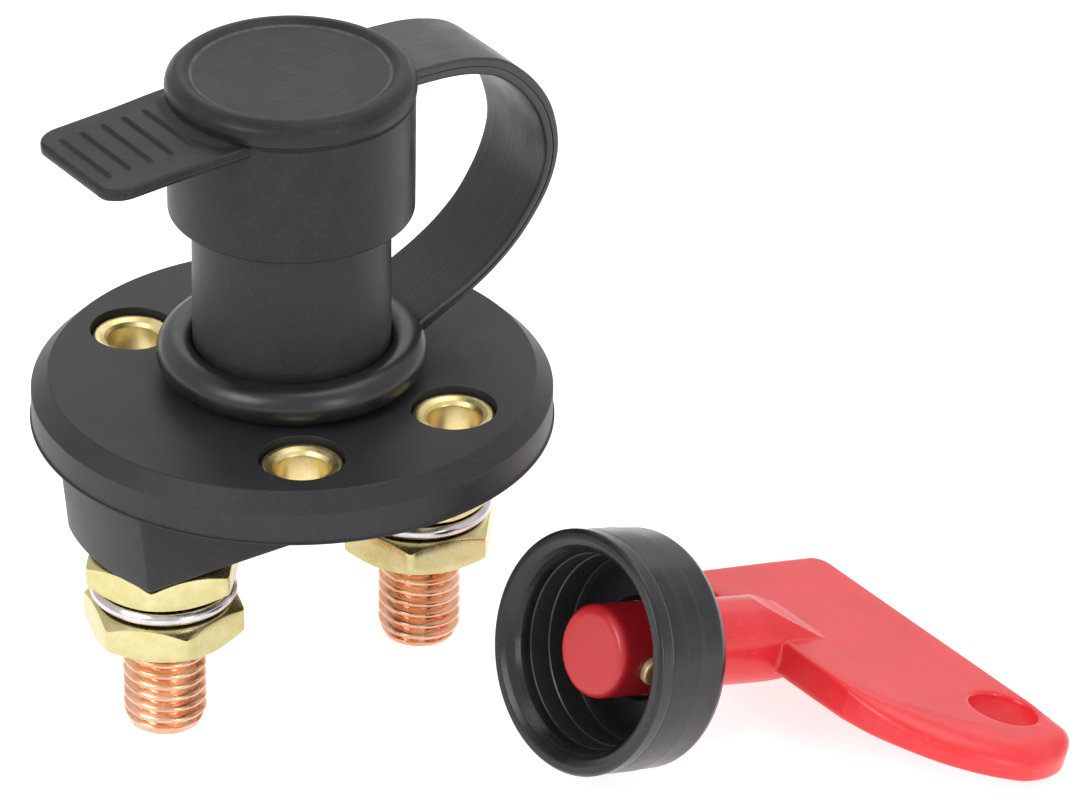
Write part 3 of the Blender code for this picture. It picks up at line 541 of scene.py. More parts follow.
# ------------------------------------------------------------------ materials
housing_look = moulded(
    "black_plastic", dark=(0.016, 0.016, 0.0175), light=(0.021, 0.021, 0.023),
    rough=(0.40, 0.50), wear=(0.060, 0.060, 0.064), specular=0.30)
base_look = moulded(
    "base_phenolic", dark=(0.022, 0.021, 0.020), light=(0.034, 0.032, 0.030),
    rough=(0.4, 0.5), wear=(0.10, 0.10, 0.105), specular=0.5)
cap_look = cap_rubber()
ring_look = rubber(
    "ring_rubber", dark=(0.010, 0.011, 0.0125), light=(0.016, 0.017, 0.019),
    rough=(0.26, 0.36), dust=0.15, dust_and_lit_wall=(0.05, 0.05, 0.055), specular=0.5)
strap_look = rubber(
    "strap_rubber", dark=(0.016, 0.016, 0.017), light=(0.024, 0.024, 0.025),
    rough=(0.30, 0.44), streak=(0.045, 3.6, 1.5), dust_and_lit_wall=(0.062, 0.060, 0.058), specular=0.52)
# The boot's rubber carries painted light on its bore's wall and painted shade on the bore's floor.
boot_look = rubber(
    "boot_rubber", dark=(0.009, 0.010, 0.0115), light=(0.015, 0.016, 0.018),
    rough=(0.22, 0.34), streak=(0.05, 1.6, 1.6), dust=0.30, dust_and_lit_wall=(0.036, 0.037, 0.040),
    specular=0.42, inner=(0.0055, 0.006, 0.007))
eyelet_look = metal(
    "eyelet_brass", base=(0.70, 0.55, 0.22), dark=(0.40, 0.28, 0.08), light=(0.82, 0.70, 0.38),
    rough=(0.30, 0.46), stain=0.45)
nut_look = metal(
    "nut_brass", base=(0.57, 0.505, 0.22), dark=(0.32, 0.27, 0.09), light=(0.67, 0.60, 0.33),
    rough=(0.20, 0.34), stain=0.35)
washer_look = metal(
    "washer_steel", base=(0.56, 0.52, 0.53), dark=(0.28, 0.24, 0.24), light=(0.68, 0.65, 0.67),
    rough=(0.14, 0.26), stain=0.35)
copper_look = metal(
    "stud_copper", base=(0.78, 0.39, 0.23), dark=(0.48, 0.15, 0.08), light=(0.88, 0.54, 0.38),
    rough=(0.20, 0.34), stain=0.5, spot=(0.45, 0.13, 0.06))
bridge_look = metal(
    "bridge_copper", base=(0.80, 0.41, 0.26), dark=(0.45, 0.16, 0.08), light=(0.90, 0.56, 0.42),
    rough=(0.28, 0.42), stain=0.5)
spring_look = metal(
    "spring_steel", base=(0.55, 0.56, 0.58), dark=(0.28, 0.28, 0.30), light=(0.70, 0.71, 0.73),
    rough=(0.22, 0.34), stain=0.3)
pin_look = metal(
    "pin_brass", base=(0.66, 0.45, 0.24), dark=(0.36, 0.20, 0.09), light=(0.78, 0.58, 0.36),
    rough=(0.48, 0.62), stain=0.5)
pin_look.set("Metallic", 0.75)
nylon_look = nylon()
red_look = red_plastic()

# ------------------------------------------------------------------ housing
# Profiles are (r, z) or (r, z, rounding).
HOUSING_PROFILE = [
    (0.0, 41.5), (5.0, 41.5), (11.6, 41.5, 0.4), (11.6, FLANGE_TOP, 0.35),
    (28.55, FLANGE_TOP, 0.30), (30.57, 4.03, 0.30), (30.54, 0.40), (30.74, 0.30), (30.74, 0.16),
    (30.45, 0.0), (29.5, 0.0), (0.0, 0.0)]
HOLE_RIM = [(5.18 - 0.13 * math.sin(t), 6.07 - 0.15 * (1 - math.cos(t))) for t in quarter_turn(5)]
HOLE_PROFILE = [(0.0, 9.0), (5.18, 9.0), *HOLE_RIM, (5.05, 4.05), (4.0, 4.05), (4.0, -1.0),
                (0.0, -1.0)]
BORE_PROFILE = [(0.0, 39.7), (9.0, 39.7), (9.0, -2.0), (0.0, -2.0)]
KEYHOLE_PROFILE = [(0.0, 43.0), (6.7, 43.0), (6.7, 41.9), (6.1, 41.2, 0.2), (6.1, 38.5),
                   (0.0, 38.5)]

BLOCK_HALF_Y = 9.0
BLOCK_BOTTOM, BLOCK_ROUNDING = -11.8, 0.40
# (from, to, count) in degrees round each half of the block, densest at its corners
BLOCK_SPANS = [(-90, -24, 22), (-24, -12, 40), (-12, 12, 24), (12, 24, 40), (24, 90, 22)]


def make_housing():
    """Flange and neck, cut by four holes, the bore, the keyhole, its slots and the cavity."""
    housing = lathe("vis_housing", fillet(HOUSING_PROFILE), 192, weighted=False)
    tools = [lathe("cut_hole_%d" % n, HOLE_PROFILE, 72, centre=hole, weighted=False)
             for n, hole in enumerate(HOLES)]
    tools.append(lathe("cut_bore", BORE_PROFILE, 96, weighted=False))
    tools.append(lathe("cut_keyhole", fillet(KEYHOLE_PROFILE, 3), 96, weighted=False))
    tools.append(box("cut_slots", 7.4, 2.1, bottom=38.6, top=43.0))
    tools.append(box("cut_cavity", CAVITY_HALF_X, CAVITY_HALF_Y, bottom=-1.0, top=2.0))
    cut(housing, tools)
    finish(housing, housing_look)
    return housing


def make_terminal_block():
    """Flat sides, conical ends, open below."""
    directions = []
    for half_turn in (0.0, 180.0):
        for start, end, count in BLOCK_SPANS:
            for i in range(count):
                angle = math.radians(half_turn + start + (end - start) * i / count)
                directions.append((math.cos(angle), math.sin(angle)))

    def outer_ring(z, inset=0.0):
        end_radius = 28.3 + (27.0 - 28.3) * (0.3 - z) / 12.3
        ring = []
        for c, s in directions:
            side = (BLOCK_HALF_Y - inset) / max(abs(s), 1e-3)
            r = smooth_min(side, end_radius - inset, 0.6)
            ring.append((r * c, r * s, z))
        return ring

    def cavity_ring(z, grow=0.0):
        ring = []
        for c, s in directions:
            r = min((CAVITY_HALF_Y + grow) / max(abs(s), 1e-3),
                    (CAVITY_HALF_X + grow) / max(abs(c), 1e-3))
            ring.append((r * c, r * s, z))
        return ring

    rings = [outer_ring(z) for z in (0.25, -0.2, -4.0, -8.0, -11.3)]
    for t in quarter_turn(5, first=1):
        rings.append(outer_ring(BLOCK_BOTTOM + BLOCK_ROUNDING * (1 - math.sin(t)),
                                BLOCK_ROUNDING * (1 - math.cos(t))))
    rings += [cavity_ring(BLOCK_BOTTOM, 0.4), cavity_ring(-11.75, 0.1), cavity_ring(-11.5),
              cavity_ring(1.5)]
    block = build("vis_terminal_block", *loft_data(rings, caps=False), sharp=30.0, weighted=True)
    finish(block, housing_look)


# ------------------------------------------------------------------ eyelets
EYELET_PROFILE = [
    (3.7, 4.35, 0.2), (3.7, 0.25), (3.05, 0.25), (3.05, 4.55, 0.5), (3.45, 5.0, 0.5),
    (4.05, 5.32, 0.5), (4.5, 5.30, 0.35), (4.84, 5.0, 0.25), (4.86, 4.55, 0.15)]


def make_eyelets():
    profile = fillet(EYELET_PROFILE, 6, closed=True)
    for letter, hole in zip("abcd", HOLES):
        node = "eyelet_" + letter
        eyelet = lathe("vis_" + node, profile, 96, closed=True, centre=hole, sharp=60)
        finish(eyelet, eyelet_look, node)


# ------------------------------------------------------------------ studs with rolled threads
PITCH = 1.5
THREAD_ROOT, THREAD_DEPTH = 4.16, 0.76
THREAD_TOP, THREAD_LAST = -7.75, -35.5
THREAD_ROW = 0.115               # height between rows of points
STUD_END = -35.62
STUD_STEPS = 96


def make_stud(letter, x, phase):
    def row(z, radius_at):
        section = []
        for k in range(STUD_STEPS):
            angle = math.tau * k / STUD_STEPS
            r = radius_at(angle, z)
            section.append((x + r * math.cos(angle), r * math.sin(angle), z))
        return section

    def thread(angle, z):
        turn = (z / PITCH + angle / math.tau + phase) % 1.0
        crest = (0.5 - 0.5 * math.cos(math.tau * turn)) ** 0.55
        r = THREAD_ROOT + THREAD_DEPTH * crest
        above_end = z - STUD_END
        if above_end < 1.7:      # tapered lead-in
            r = min(r, 4.22 + 0.44 * max(above_end, 0.0))
        below_top = THREAD_TOP - z
        if below_top < 1.0:      # fades out below the head
            r = 4.5 + (r - 4.5) * below_top
        return r

    head = fillet([(0.02, -4.55), (6.3, -4.55, 0.35), (6.3, THREAD_TOP, 0.2), (4.9, THREAD_TOP)], 3)
    end = [(4.15, -35.58), (3.95, STUD_END), (2.2, -35.60), (0.02, -35.60)]
    heights = [THREAD_TOP]
    while heights[-1] > THREAD_LAST:
        heights.append(heights[-1] - THREAD_ROW)
    sections = [row(z, lambda angle, z, r=r: r) for r, z in head[:-1]]
    sections += [row(z, thread) for z in heights]
    sections += [row(z, lambda angle, z, r=r: r) for r, z in end]
    node = "stud_" + letter
    finish(build("vis_" + node, *loft_data(sections), sharp=60.0), copper_look, node)


# ------------------------------------------------------------------ nuts
NUT_STEPS = 6 * 32
NUT_APOTHEM = 8.5
NUT_FACE = 8.15                  # radius where the chamfer starts
NUT_BORE = 5.2
CHAMFER_SLOPE = math.tan(math.radians(30))
# (node, top, thickness, x, turn in degrees)
NUTS = [
    ("upper_nut_a", -12.25, 4.1, -STUD_X, 49.0), ("upper_nut_b", -12.25, 4.1, STUD_X, 20.0),
    ("lower_nut_a", -18.8, 4.5, -STUD_X, 14.0), ("lower_nut_b", -18.8, 4.5, STUD_X, 50.0)]


def nut_profile(outer, half):
    """Closed (r, z) profile about mid height, where the hexagon's radius is outer."""
    face = half - 0.03

    def chamfer(r):
        return face - (r - NUT_FACE - 0.03) * CHAMFER_SLOPE

    start, end = NUT_FACE + 0.2, outer - 0.16
    upper = [
        (NUT_BORE, 0.0), (NUT_BORE, half - 0.55), (NUT_BORE + 0.12, half - 0.40),
        (NUT_BORE + 0.50, half - 0.06), (NUT_BORE + 0.62, half), (6.8, half),
        (NUT_FACE - 0.25, half), (NUT_FACE, face), (start, chamfer(start)),
        ((start + end) / 2, chamfer((start + end) / 2)), (end, chamfer(end)),
        (outer - 0.05, chamfer(outer)), (outer, chamfer(outer) - 0.17),
        (outer, 0.5 * (half - 0.2 - (outer - NUT_FACE) * CHAMFER_SLOPE)), (outer, 0.0)]
    return upper + [(r, -z) for r, z in reversed(upper[1:-1])]


def make_nut(node, top, thickness, x, turn):
    """Double-chamfered hexagon."""
    half = thickness / 2
    corner = NUT_APOTHEM / math.cos(math.pi / 6)
    angles, profiles = [], []
    for k in range(NUT_STEPS):
        angle = math.tau * k / NUT_STEPS
        from_flat = (angle + math.pi / 6) % (math.pi / 3) - math.pi / 6
        # the smooth minimum softens the corners a little
        outer = smooth_min(NUT_APOTHEM / math.cos(from_flat), corner - 0.10, 0.25)
        angles.append(angle + math.radians(turn) + math.pi / 6)
        profiles.append(nut_profile(outer, half))
    sections = [[(x + r * math.cos(a), r * math.sin(a), top - half + z)
                 for a, (r, z) in zip(angles, row)] for row in zip(*profiles)]
    nut = build("vis_" + node, *loft_data(sections, ring=True), sharp=24.0, weighted=True)
    finish(nut, nut_look, node)


# ------------------------------------------------------------------ spring washers
WASHER_SECTION = [
    (8.25, 0.0, 0.5), (8.72, -0.55, 0.6), (8.72, -1.1, 0.6), (8.25, -1.65, 0.5),
    (5.35, -1.65, 0.25), (5.35, 0.0, 0.25)]
WASHER_TOP, WASHER_DROP = -16.6, 0.3
WASHER_STEPS = 120
WASHER_SWEEP = 350.0


def make_washer(letter, x, gap):
    """A split ring with its gap at the given angle in degrees."""
    profile = fillet(WASHER_SECTION, 5, closed=True)
    sections = []
    for i in range(WASHER_STEPS + 1):
        share = i / WASHER_STEPS
        angle = math.radians(gap + (360.0 - WASHER_SWEEP) / 2 + WASHER_SWEEP * share)
        c, s = math.cos(angle), math.sin(angle)
        level = WASHER_TOP - WASHER_DROP * share
        sections.append([(x + r * c, r * s, z + level) for r, z in profile])
    node = "spring_washer_" + letter
    washer = build("vis_" + node, *loft_data(sections), sharp=40.0, weighted=True)
    finish(washer, washer_look, node)


# ------------------------------------------------------------------ return spring
COIL_TURNS, COIL_RADIUS, WIRE_RADIUS = 4.5, 5.4, 0.4
COIL_BOTTOM, COIL_HEIGHT = -10.1, 8.1
COIL_STEPS = int(COIL_TURNS * 48)
WIRE_STEPS = 14


def make_return_spring():
    sections = []
    for i in range(COIL_STEPS + 1):
        share = i / COIL_STEPS
        angle = math.tau * COIL_TURNS * share
        z = COIL_BOTTOM + COIL_HEIGHT * (share + 0.02 * math.sin(math.tau * share))
        section = []
        for k in range(WIRE_STEPS):
            t = math.tau * k / WIRE_STEPS
            r = COIL_RADIUS + WIRE_RADIUS * math.cos(t)
            section.append((r * math.cos(angle), r * math.sin(angle), z + WIRE_RADIUS * math.sin(t)))
        sections.append(section)
    coil = build("vis_return_spring", *loft_data(sections), sharp=50.0)
    finish(coil, spring_look, "return_spring")
    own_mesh(coil)


# ------------------------------------------------------------------ cover ring
def make_cover_ring():
    """A round section, flattened against the neck and near the flange."""
    section = []
    for i in range(40):
        angle = math.radians(90.0 - 360.0 * i / 40)
        c, s = math.cos(angle), math.sin(angle)
        section.append((max(13.42 + 2.44 * c, 11.64 + 0.02 * c),
                        max(8.72 + 2.42 * s, 6.3 + 0.02 * s)))
    ring = lathe("vis_cover_ring", section, 192, closed=True, sharp=60, weighted=False)
    finish(ring, ring_look, "cover_ring", part="cover")


# ------------------------------------------------------------------ cover strap
# (x, z, thickness) of the strap's middle line, from the cap down to the ring
STRAP = [
    (12.6, 42.95, 2.2), (15.3, 42.90, 2.2), (18.6, 42.68, 2.2), (21.6, 42.12, 2.2),
    (25.1, 40.8, 2.2), (28.4, 38.05, 2.15), (30.9, 34.6, 2.1), (32.15, 31.2, 1.95),
    (32.52, 27.9, 1.75), (31.85, 24.75, 1.6), (30.4, 21.85, 1.5), (27.75, 18.4, 1.45),
    (24.6, 15.6, 1.4), (21.4, 13.55, 1.4), (18.6, 12.15, 1.4), (16.4, 11.1, 1.5),
    (14.6, 10.2, 1.6), (13.4, 9.3, 1.5)]
STRAP_HALF_WIDTH = 6.15


def strap_section(thickness):
    """Loop of (outward, y) points with a shallow groove along each edge."""
    half, width = thickness / 2, STRAP_HALF_WIDTH
    edge = min(0.38, half * 0.45)
    flat = width - edge
    across = [flat - 2 * flat * i / 22 for i in range(23)]
    outer = [(half + 0.03 * math.cos(math.pi * y / width), y) for y in across]
    inner = [(-half, y) for y in reversed(across)]
    minus_y = [(half - edge * (1 - math.cos(q)), -flat - edge * math.sin(q))
               for q in quarter_turn(4, first=1)]
    minus_y += [(0.10, -width), (0.05, -width + 0.14), (-0.02, -width + 0.14),
                (-0.06, -width + 0.04)]
    minus_y += [(-half + edge * (1 - math.sin(q)), -flat - (edge - 0.04) * math.cos(q))
                for q in quarter_turn(4)[:-1]]
    plus_y = [(out, -y) for out, y in reversed(minus_y)]
    return outer + minus_y + inner + plus_y


def make_cover_strap():
    path = spline(STRAP, 9)
    sections, grain = [], []
    along = 0.0
    for k, (x, z, thickness) in enumerate(path):
        before = path[max(k - 1, 0)]
        after = path[min(k + 1, len(path) - 1)]
        run_x, run_z = after[0] - before[0], after[1] - before[1]
        length = math.hypot(run_x, run_z)
        out_x, out_z = -run_z / length, run_x / length
        if k:
            along += math.hypot(x - path[k - 1][0], z - path[k - 1][1])
        # the +Y half is wider where the strap bows out
        bulge = 0.45 * smoothstep((z - 17.0) / 8.0) * smoothstep((42.0 - z) / 6.0)
        loop = [(out, y + bulge * max(y, 0.0) / STRAP_HALF_WIDTH)
                for out, y in strap_section(thickness)]
        sections.append([(x + out_x * out, y, z + out_z * out) for out, y in loop])
        grain += [(along, y, out) for out, y in loop]
    strap = build("vis_cover_strap", *loft_data(sections), sharp=45.0, grain=grain)
    finish(strap, strap_look, "cover_strap", part=None)
    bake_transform(strap)


# ------------------------------------------------------------------ cover cap with its pull tab
CAP_TOP = 44.86
CAP_PROFILE = [
    (10.75, CAP_TOP), (11.35, 44.89, 0.25), (11.75, 45.05, 0.2), (12.55, 45.60, 1.0),
    (13.5, 45.42, 1.4), (14.4, 44.60, 1.3), (14.62, 43.60, 0.9), (14.52, 42.72, 0.40),
    (14.26, 42.40, 0.10), (14.24, 42.26, 0.08), (14.42, 42.12, 0.12), (14.42, 41.0),
    (14.40, 34.0), (14.35, 27.65, 0.35), (12.1, 27.65, 0.3), (11.9, 28.2, 0.3),
    (11.9, 41.85, 0.5), (9.0, 41.85), (0.0, 41.85)]

TAB_SLOPE = math.tan(math.radians(3.0))
TAB_RIBS = (-16.3, -19.1, -21.9, -24.7, -27.4)   # x of the ribs
RIB_HEIGHT, RIB_HALF_LENGTH, RIB_Y = 0.40, 5.45, 0.55
TAB_ROOT, TAB_ROOT_RADIUS = -13.1, 13.0
ROOT_ROWS = 4                    # rows that unbend from the skirt's round wall
TAB_TIP = -29.9
TAB_HALF_WIDTH, TAB_CORNER = 8.55, 3.4
TAB_HALF_THICK, TAB_EDGE = 0.75, 0.55


def cap_disc():
    """Slightly dished top with faint turned ripples."""
    disc = []
    for i in range(70):
        r = 10.6 * i / 69
        fade = smoothstep((10.0 - r) / 3.0)
        ripple = math.sin(math.tau * r / 0.83) + 0.7 * math.sin(math.tau * r / 1.31 + 1.0)
        disc.append((r, CAP_TOP + 0.009 * ripple * fade - 0.10 * (1 - (r / 10.5) ** 2)))
    return disc


def tab_plane(x):
    return 42.42 + (x + 13.2) * TAB_SLOPE


def tab_top(x, y):
    """Height of the tab's top: the sloping plane, a swelling at the root, and the ribs."""
    z = tab_plane(x)
    z += 0.5 * (smoothstep((15.9 - math.hypot(x, y)) / 1.8)
                * (1 - smoothstep((abs(y) - 6.2) / 2.2)))
    for rib in TAB_RIBS:
        offset = (x - rib) / (0.22 if x > rib else 0.30)
        if abs(offset) < 1.0:
            end = min(max((RIB_HALF_LENGTH - abs(y - RIB_Y)) / 0.7, 0.0), 1.0)
            z += (RIB_HEIGHT * math.cos(offset * math.pi / 2)
                  * math.sin(end * math.pi / 2) ** 0.8)
    return z


def tab_section(x, curl):
    """Loop round the tab at x; curl 1 follows the skirt's round wall, 0 is straight."""
    def place(y):
        return x * (1 - curl) - curl * math.sqrt(TAB_ROOT_RADIUS ** 2 - y * y)

    into_corner = max(0.0, TAB_TIP + TAB_CORNER - x)
    width = TAB_HALF_WIDTH
    if into_corner > 0:
        width += math.sqrt(max(TAB_CORNER ** 2 - into_corner ** 2, 0.0)) - TAB_CORNER
    width = max(width, 0.6) + 0.25 + 0.25 * smoothstep((x + 20.0) / 8.0)
    from_tip = min(1.0, max(0.0, (x - TAB_TIP) / TAB_EDGE))
    squeeze = math.sin(math.acos(1 - from_tip)) if from_tip < 1 else 1.0
    flat = width - TAB_EDGE
    middle, half = -TAB_HALF_THICK, TAB_HALF_THICK * squeeze

    loop = []
    for i in range(65):
        y = flat * (1 - 2 * i / 64)
        loop.append((place(y), y, tab_top(place(y), y) - (1 - squeeze) * TAB_HALF_THICK))
    # (y, height from the plane) down the -Y side, with a small step half way
    side = [(-flat - TAB_EDGE * math.sin(a), middle + half - half * 0.62 * (1 - math.cos(a)))
            for a in quarter_turn(5, first=1)]
    side += [(-width + 0.10, middle + half * 0.22), (-width + 0.06, middle + half * 0.12)]
    side += [(-flat - (TAB_EDGE - 0.05) * math.cos(a),
              middle - half * 0.1 - half * 0.9 * math.sin(a)) for a in quarter_turn(5)]
    under = [(-flat * (1 - 2 * i / 16), middle - half) for i in range(1, 16)]
    other_side = [(-y, z) for y, z in reversed(side)]
    loop += [(place(y), y, z + tab_plane(place(y))) for y, z in side + under + other_side]
    return loop


def root_faces(ys):
    """Narrow triangles that close the bent root from its upper edge to its lower edge."""
    count = len(ys)
    first, last = ys.index(max(ys)), ys.index(min(ys))
    upper = [(first + i) % count for i in range((last - first) % count + 1)]
    lower = [(first - i) % count for i in range((first - last) % count + 1)]
    faces = []
    a = b = 0
    while a < len(upper) - 1 or b < len(lower) - 1:
        if b == len(lower) - 1 or (a < len(upper) - 1 and abs(ys[upper[a + 1]] - ys[lower[b]])
                                   <= abs(ys[upper[a]] - ys[lower[b + 1]])):
            face = (upper[a + 1], upper[a], lower[b])
            a += 1
        else:
            face = (lower[b], lower[b + 1], upper[a])
            b += 1
        if len(set(face)) == 3:
            faces.append(face)
    return faces


def tab_data():
    stations = [TAB_ROOT] * ROOT_ROWS + list(np.arange(TAB_ROOT, -29.4, -0.075))
    stations += [TAB_TIP + TAB_EDGE * (1 - math.sin(a)) for a in quarter_turn(5)]
    sections = [tab_section(x, max(0.0, 1.0 - k / ROOT_ROWS)) for k, x in enumerate(stations)]
    points, faces = loft_data(sections, caps=False)
    faces.append(tuple(range(len(points) - len(sections[-1]), len(points))))
    faces += root_faces([y for _, y, _ in sections[0]])
    return points, faces


def make_cover_cap():
    points, faces = lathe_data(cap_disc() + fillet(CAP_PROFILE), 192)
    tab_points, tab_faces = tab_data()
    faces += [tuple(i + len(points) for i in face) for face in tab_faces]
    cap = build("vis_cover_cap", points + tab_points, faces, sharp=42.0, weighted=True)
    finish(cap, cap_look, "cover_cap", part="cap")


# ------------------------------------------------------------------ key
def key_matrix():
    """Key frame: x along the lever, y down, z from the tip towards the blade."""
    heading, slope, roll = math.radians(4.539), math.radians(16.836), math.radians(-2.726)
    axis = Vector((math.cos(heading) * math.cos(slope), math.sin(heading) * math.cos(slope),
                   -math.sin(slope)))
    level = Vector((math.sin(heading), -math.cos(heading), 0.0))
    up = level.cross(axis)
    lever = (math.cos(roll) * level + math.sin(roll) * up).normalized()
    down = axis.cross(lever)
    return Matrix((*zip(lever, down, axis, KEY_TIP), (0, 0, 0, 1)))


KEY = key_matrix()

# Blade outline as (across, along) in the key frame: this curve rounds its +x end,
LEVER_END = [
    (16.6, 26.1), (19.6, 26.7), (22.0, 27.5), (24.6, 28.8), (27.0, 30.2), (29.2, 31.8),
    (31.4, 34.0), (33.3, 36.6), (34.7, 39.6), (34.9, 41.65), (34.58, 43.95), (33.72, 46.35),
    (32.4, 48.3), (30.5, 49.6), (27.2, 49.95)]
# and these points carry on round the rest.
OUTLINE = np.array(
    spline(LEVER_END, 4) + [(20.0, 49.8), (0.0, 49.7), (-12.5, 49.7)]
    + [(-12.8 - 2.2 * math.sin(math.radians(a)), 47.5 + 2.2 * math.cos(math.radians(a)))
       for a in (10, 25, 40, 55, 70, 85)]
    + [(-14.6, 40.0), (-13.8, 28.0), (-13.5, 26.9), (-13.0, 26.2), (-12.2, 25.95), (0.0, 25.9),
       (12.0, 25.95)])

SHANK_RADIUS, SHANK_ROUNDING = 5.2, 1.15
HUB_END = 33.9
BLADE_TOP, BLADE_BOTTOM, BOTTOM_ROUNDING = 2.0, 2.15, 0.7
BLADE_HOLE = (24.45, 44.4, 4.16)     # across, along, radius
PIN_ALONG, PIN_HOLE_RADIUS = 5.0, 1.68


def outline_distance(across, along):
    """Signed distance to the blade's outline in its plane, negative inside."""
    best = np.full(len(across), 1e9)
    inside = np.zeros(len(across), bool)
    for (x0, y0), (x1, y1) in zip(OUTLINE, np.roll(OUTLINE, -1, 0)):
        run_x, run_y = x1 - x0, y1 - y0
        t = ((across - x0) * run_x + (along - y0) * run_y) / (run_x * run_x + run_y * run_y)
        t = np.clip(t, 0, 1)
        dx, dy = across - x0 - t * run_x, along - y0 - t * run_y
        best = np.minimum(best, dx * dx + dy * dy)
        if abs(run_y) > 1e-12:
            crosses = (y0 > along) != (y1 > along)
            inside ^= crosses & (across < x0 + (along - y0) * run_x / run_y)
    distance = np.sqrt(best)
    return np.where(inside, -distance, distance)


def blade_field(across, height, along):
    inset = -outline_distance(across, along)
    # the top edge's rounding grows along the lever and shrinks again at the far end
    turn = smoothstep((along - 43.5) / 4.5)
    run = np.clip((across - 12.6) / 15.0, 0.0, 1.0)
    grow = (run * (0.35 + 0.65 * smoothstep(run * 1.2)) * (1 - turn)
            + (0.18 * smoothstep((across - 22.5) / 6.0)
               + 0.40 * smoothstep((across - 30.0) / 5.0)) * turn)
    round_in = 0.80 + 4.25 * grow
    round_down = 0.70 + 1.85 * grow
    # the top drops slightly next to the rounding and rises slightly in the middle
    lip = 0.06 * smoothstep((round_in + 0.5 - inset) / 0.7) * smoothstep((round_in - 1.0) / 1.0)
    level = height + lip - 0.12 + 0.08 * smoothstep((inset - 1.5) / 6.0)
    a = np.clip(round_in - inset, 0, None) / round_in
    b = np.clip(level - (BLADE_TOP - round_down), 0, None) / round_down
    both = np.hypot(a, b)
    smaller = np.minimum(round_in, round_down)
    top = np.where(both > 1e-6, (both - 1) * smaller, -smaller)
    a = np.clip(BOTTOM_ROUNDING - inset, 0, None) / BOTTOM_ROUNDING
    b = np.clip(-height - (BLADE_BOTTOM - BOTTOM_ROUNDING), 0, None) / BOTTOM_ROUNDING
    bottom = (np.hypot(a, b) - 1) * BOTTOM_ROUNDING
    hole_across, hole_along, hole_radius = BLADE_HOLE
    hole = hole_radius - np.hypot(across - hole_across, along - hole_along)
    return smooth_max(np.maximum(top, bottom), hole, 0.6)


def key_field(points):
    """Roughly the distance to the key's surface, negative inside."""
    across, height, along = points[:, 0], -points[:, 1], points[:, 2]
    # the shank is a little thicker near its rounded tip
    radius = SHANK_RADIUS + 0.3 * (1 - smoothstep((along - 11.0) / 2.0))
    side = np.hypot(across, height) - (radius - SHANK_ROUNDING)
    end = SHANK_ROUNDING - along
    shank = (np.hypot(np.clip(side, 0, None), np.clip(end, 0, None))
             + np.minimum(np.maximum(side, end), 0) - SHANK_ROUNDING)
    # sloping facets bring the shank down to the blade, above and below
    facet = 0.3674 * (along - 24.5) + 0.9300 * (np.abs(height) - SHANK_RADIUS)
    hub = smooth_max(smooth_max(shank, facet, 0.12), along - HUB_END, 0.3)
    joint = 0.30 + 0.5 * smoothstep((1.5 - np.abs(height)) / 1.1)
    body = smooth_min(hub, blade_field(across, height, along), joint)
    pin_hole = PIN_HOLE_RADIUS - np.hypot(height, along - PIN_ALONG)
    return smooth_max(body, pin_hole, 0.45)


def make_key_handle():
    step = 4.23 / 16
    # both faces of the blade fall about half way between two layers of the grid
    low_y = -2.08 - (math.ceil(4.3 / step) + 0.5) * step
    points, quads = surface_net(key_field, (-16.2, low_y, -0.9), (36.5, 6.4, 51.0), step)
    handle = build("vis_key_handle", points, quads, sharp=180.0, matrix=KEY)
    finish(handle, red_look, "key_handle", part="key")


PIN_PROFILE = [(0.0, 6.3), (1.6, 6.3, 0.35), (1.6, -6.3, 0.35), (0.0, -6.3)]


def make_key_pin():
    """A cross pin through the shank."""
    matrix = (KEY @ Matrix.Translation((0, 0, PIN_ALONG))
              @ Matrix.Rotation(math.radians(90), 4, 'Y'))
    pin = lathe("vis_key_pin", fillet(PIN_PROFILE, 4), 48, matrix=matrix, sharp=50)
    finish(pin, pin_look, "key_pin", part="key")


BOOT_PROFILE = [
    (5.56, 9.3), (11.9, 9.3), (13.45, 9.05, 1.6), (14.05, 7.9, 1.0), (14.18, 4.3), (14.24, 4.2),
    (14.26, 0.35), (14.20, 0.05, 0.15), (14.30, -0.25, 0.2), (14.42, -1.75, 0.5),
    (14.05, -2.25, 0.35), (13.2, -2.22, 0.6), (12.5, -1.75, 1.0), (11.95, -0.95, 0.6),
    (11.62, -0.30, 0.35), (11.52, 0.3, 0.3), (11.50, 1.05, 0.06), (11.36, 1.15, 0.06),
    (11.33, 3.75, 0.06), (11.15, 3.87, 0.06), (11.10, 7.2, 0.2), (10.2, 7.35, 0.2),
    (6.2, 7.4, 0.4), (5.56, 7.7)]


def make_key_boot():
    boot = lathe("vis_key_boot", fillet(BOOT_PROFILE, closed=True), 192, closed=True, matrix=KEY,
                 sharp=50, around=True)
    finish(boot, boot_look, "key_boot", part="boot")


# ------------------------------------------------------------------ all pieces, in order
housing = make_housing()
make_terminal_block()
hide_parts("housing")
make_eyelets()
make_stud("a", -STUD_X, phase=0.15)
make_stud("b", STUD_X, phase=0.55)
for nut in NUTS:
    make_nut(*nut)
make_washer("a", -STUD_X, gap=120.0)
make_washer("b", STUD_X, gap=40.0)
make_return_spring()
make_cover_ring()
make_cover_strap()
make_cover_cap()
make_key_handle()
make_key_pin()
make_key_boot()

# CAD nodes that stay
for node, look in (("base_plate", base_look), ("drive_sleeve", nylon_look),
                   ("plunger", nylon_look), ("contact_bridge", bridge_look)):
    finish(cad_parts[node], look, part=None)


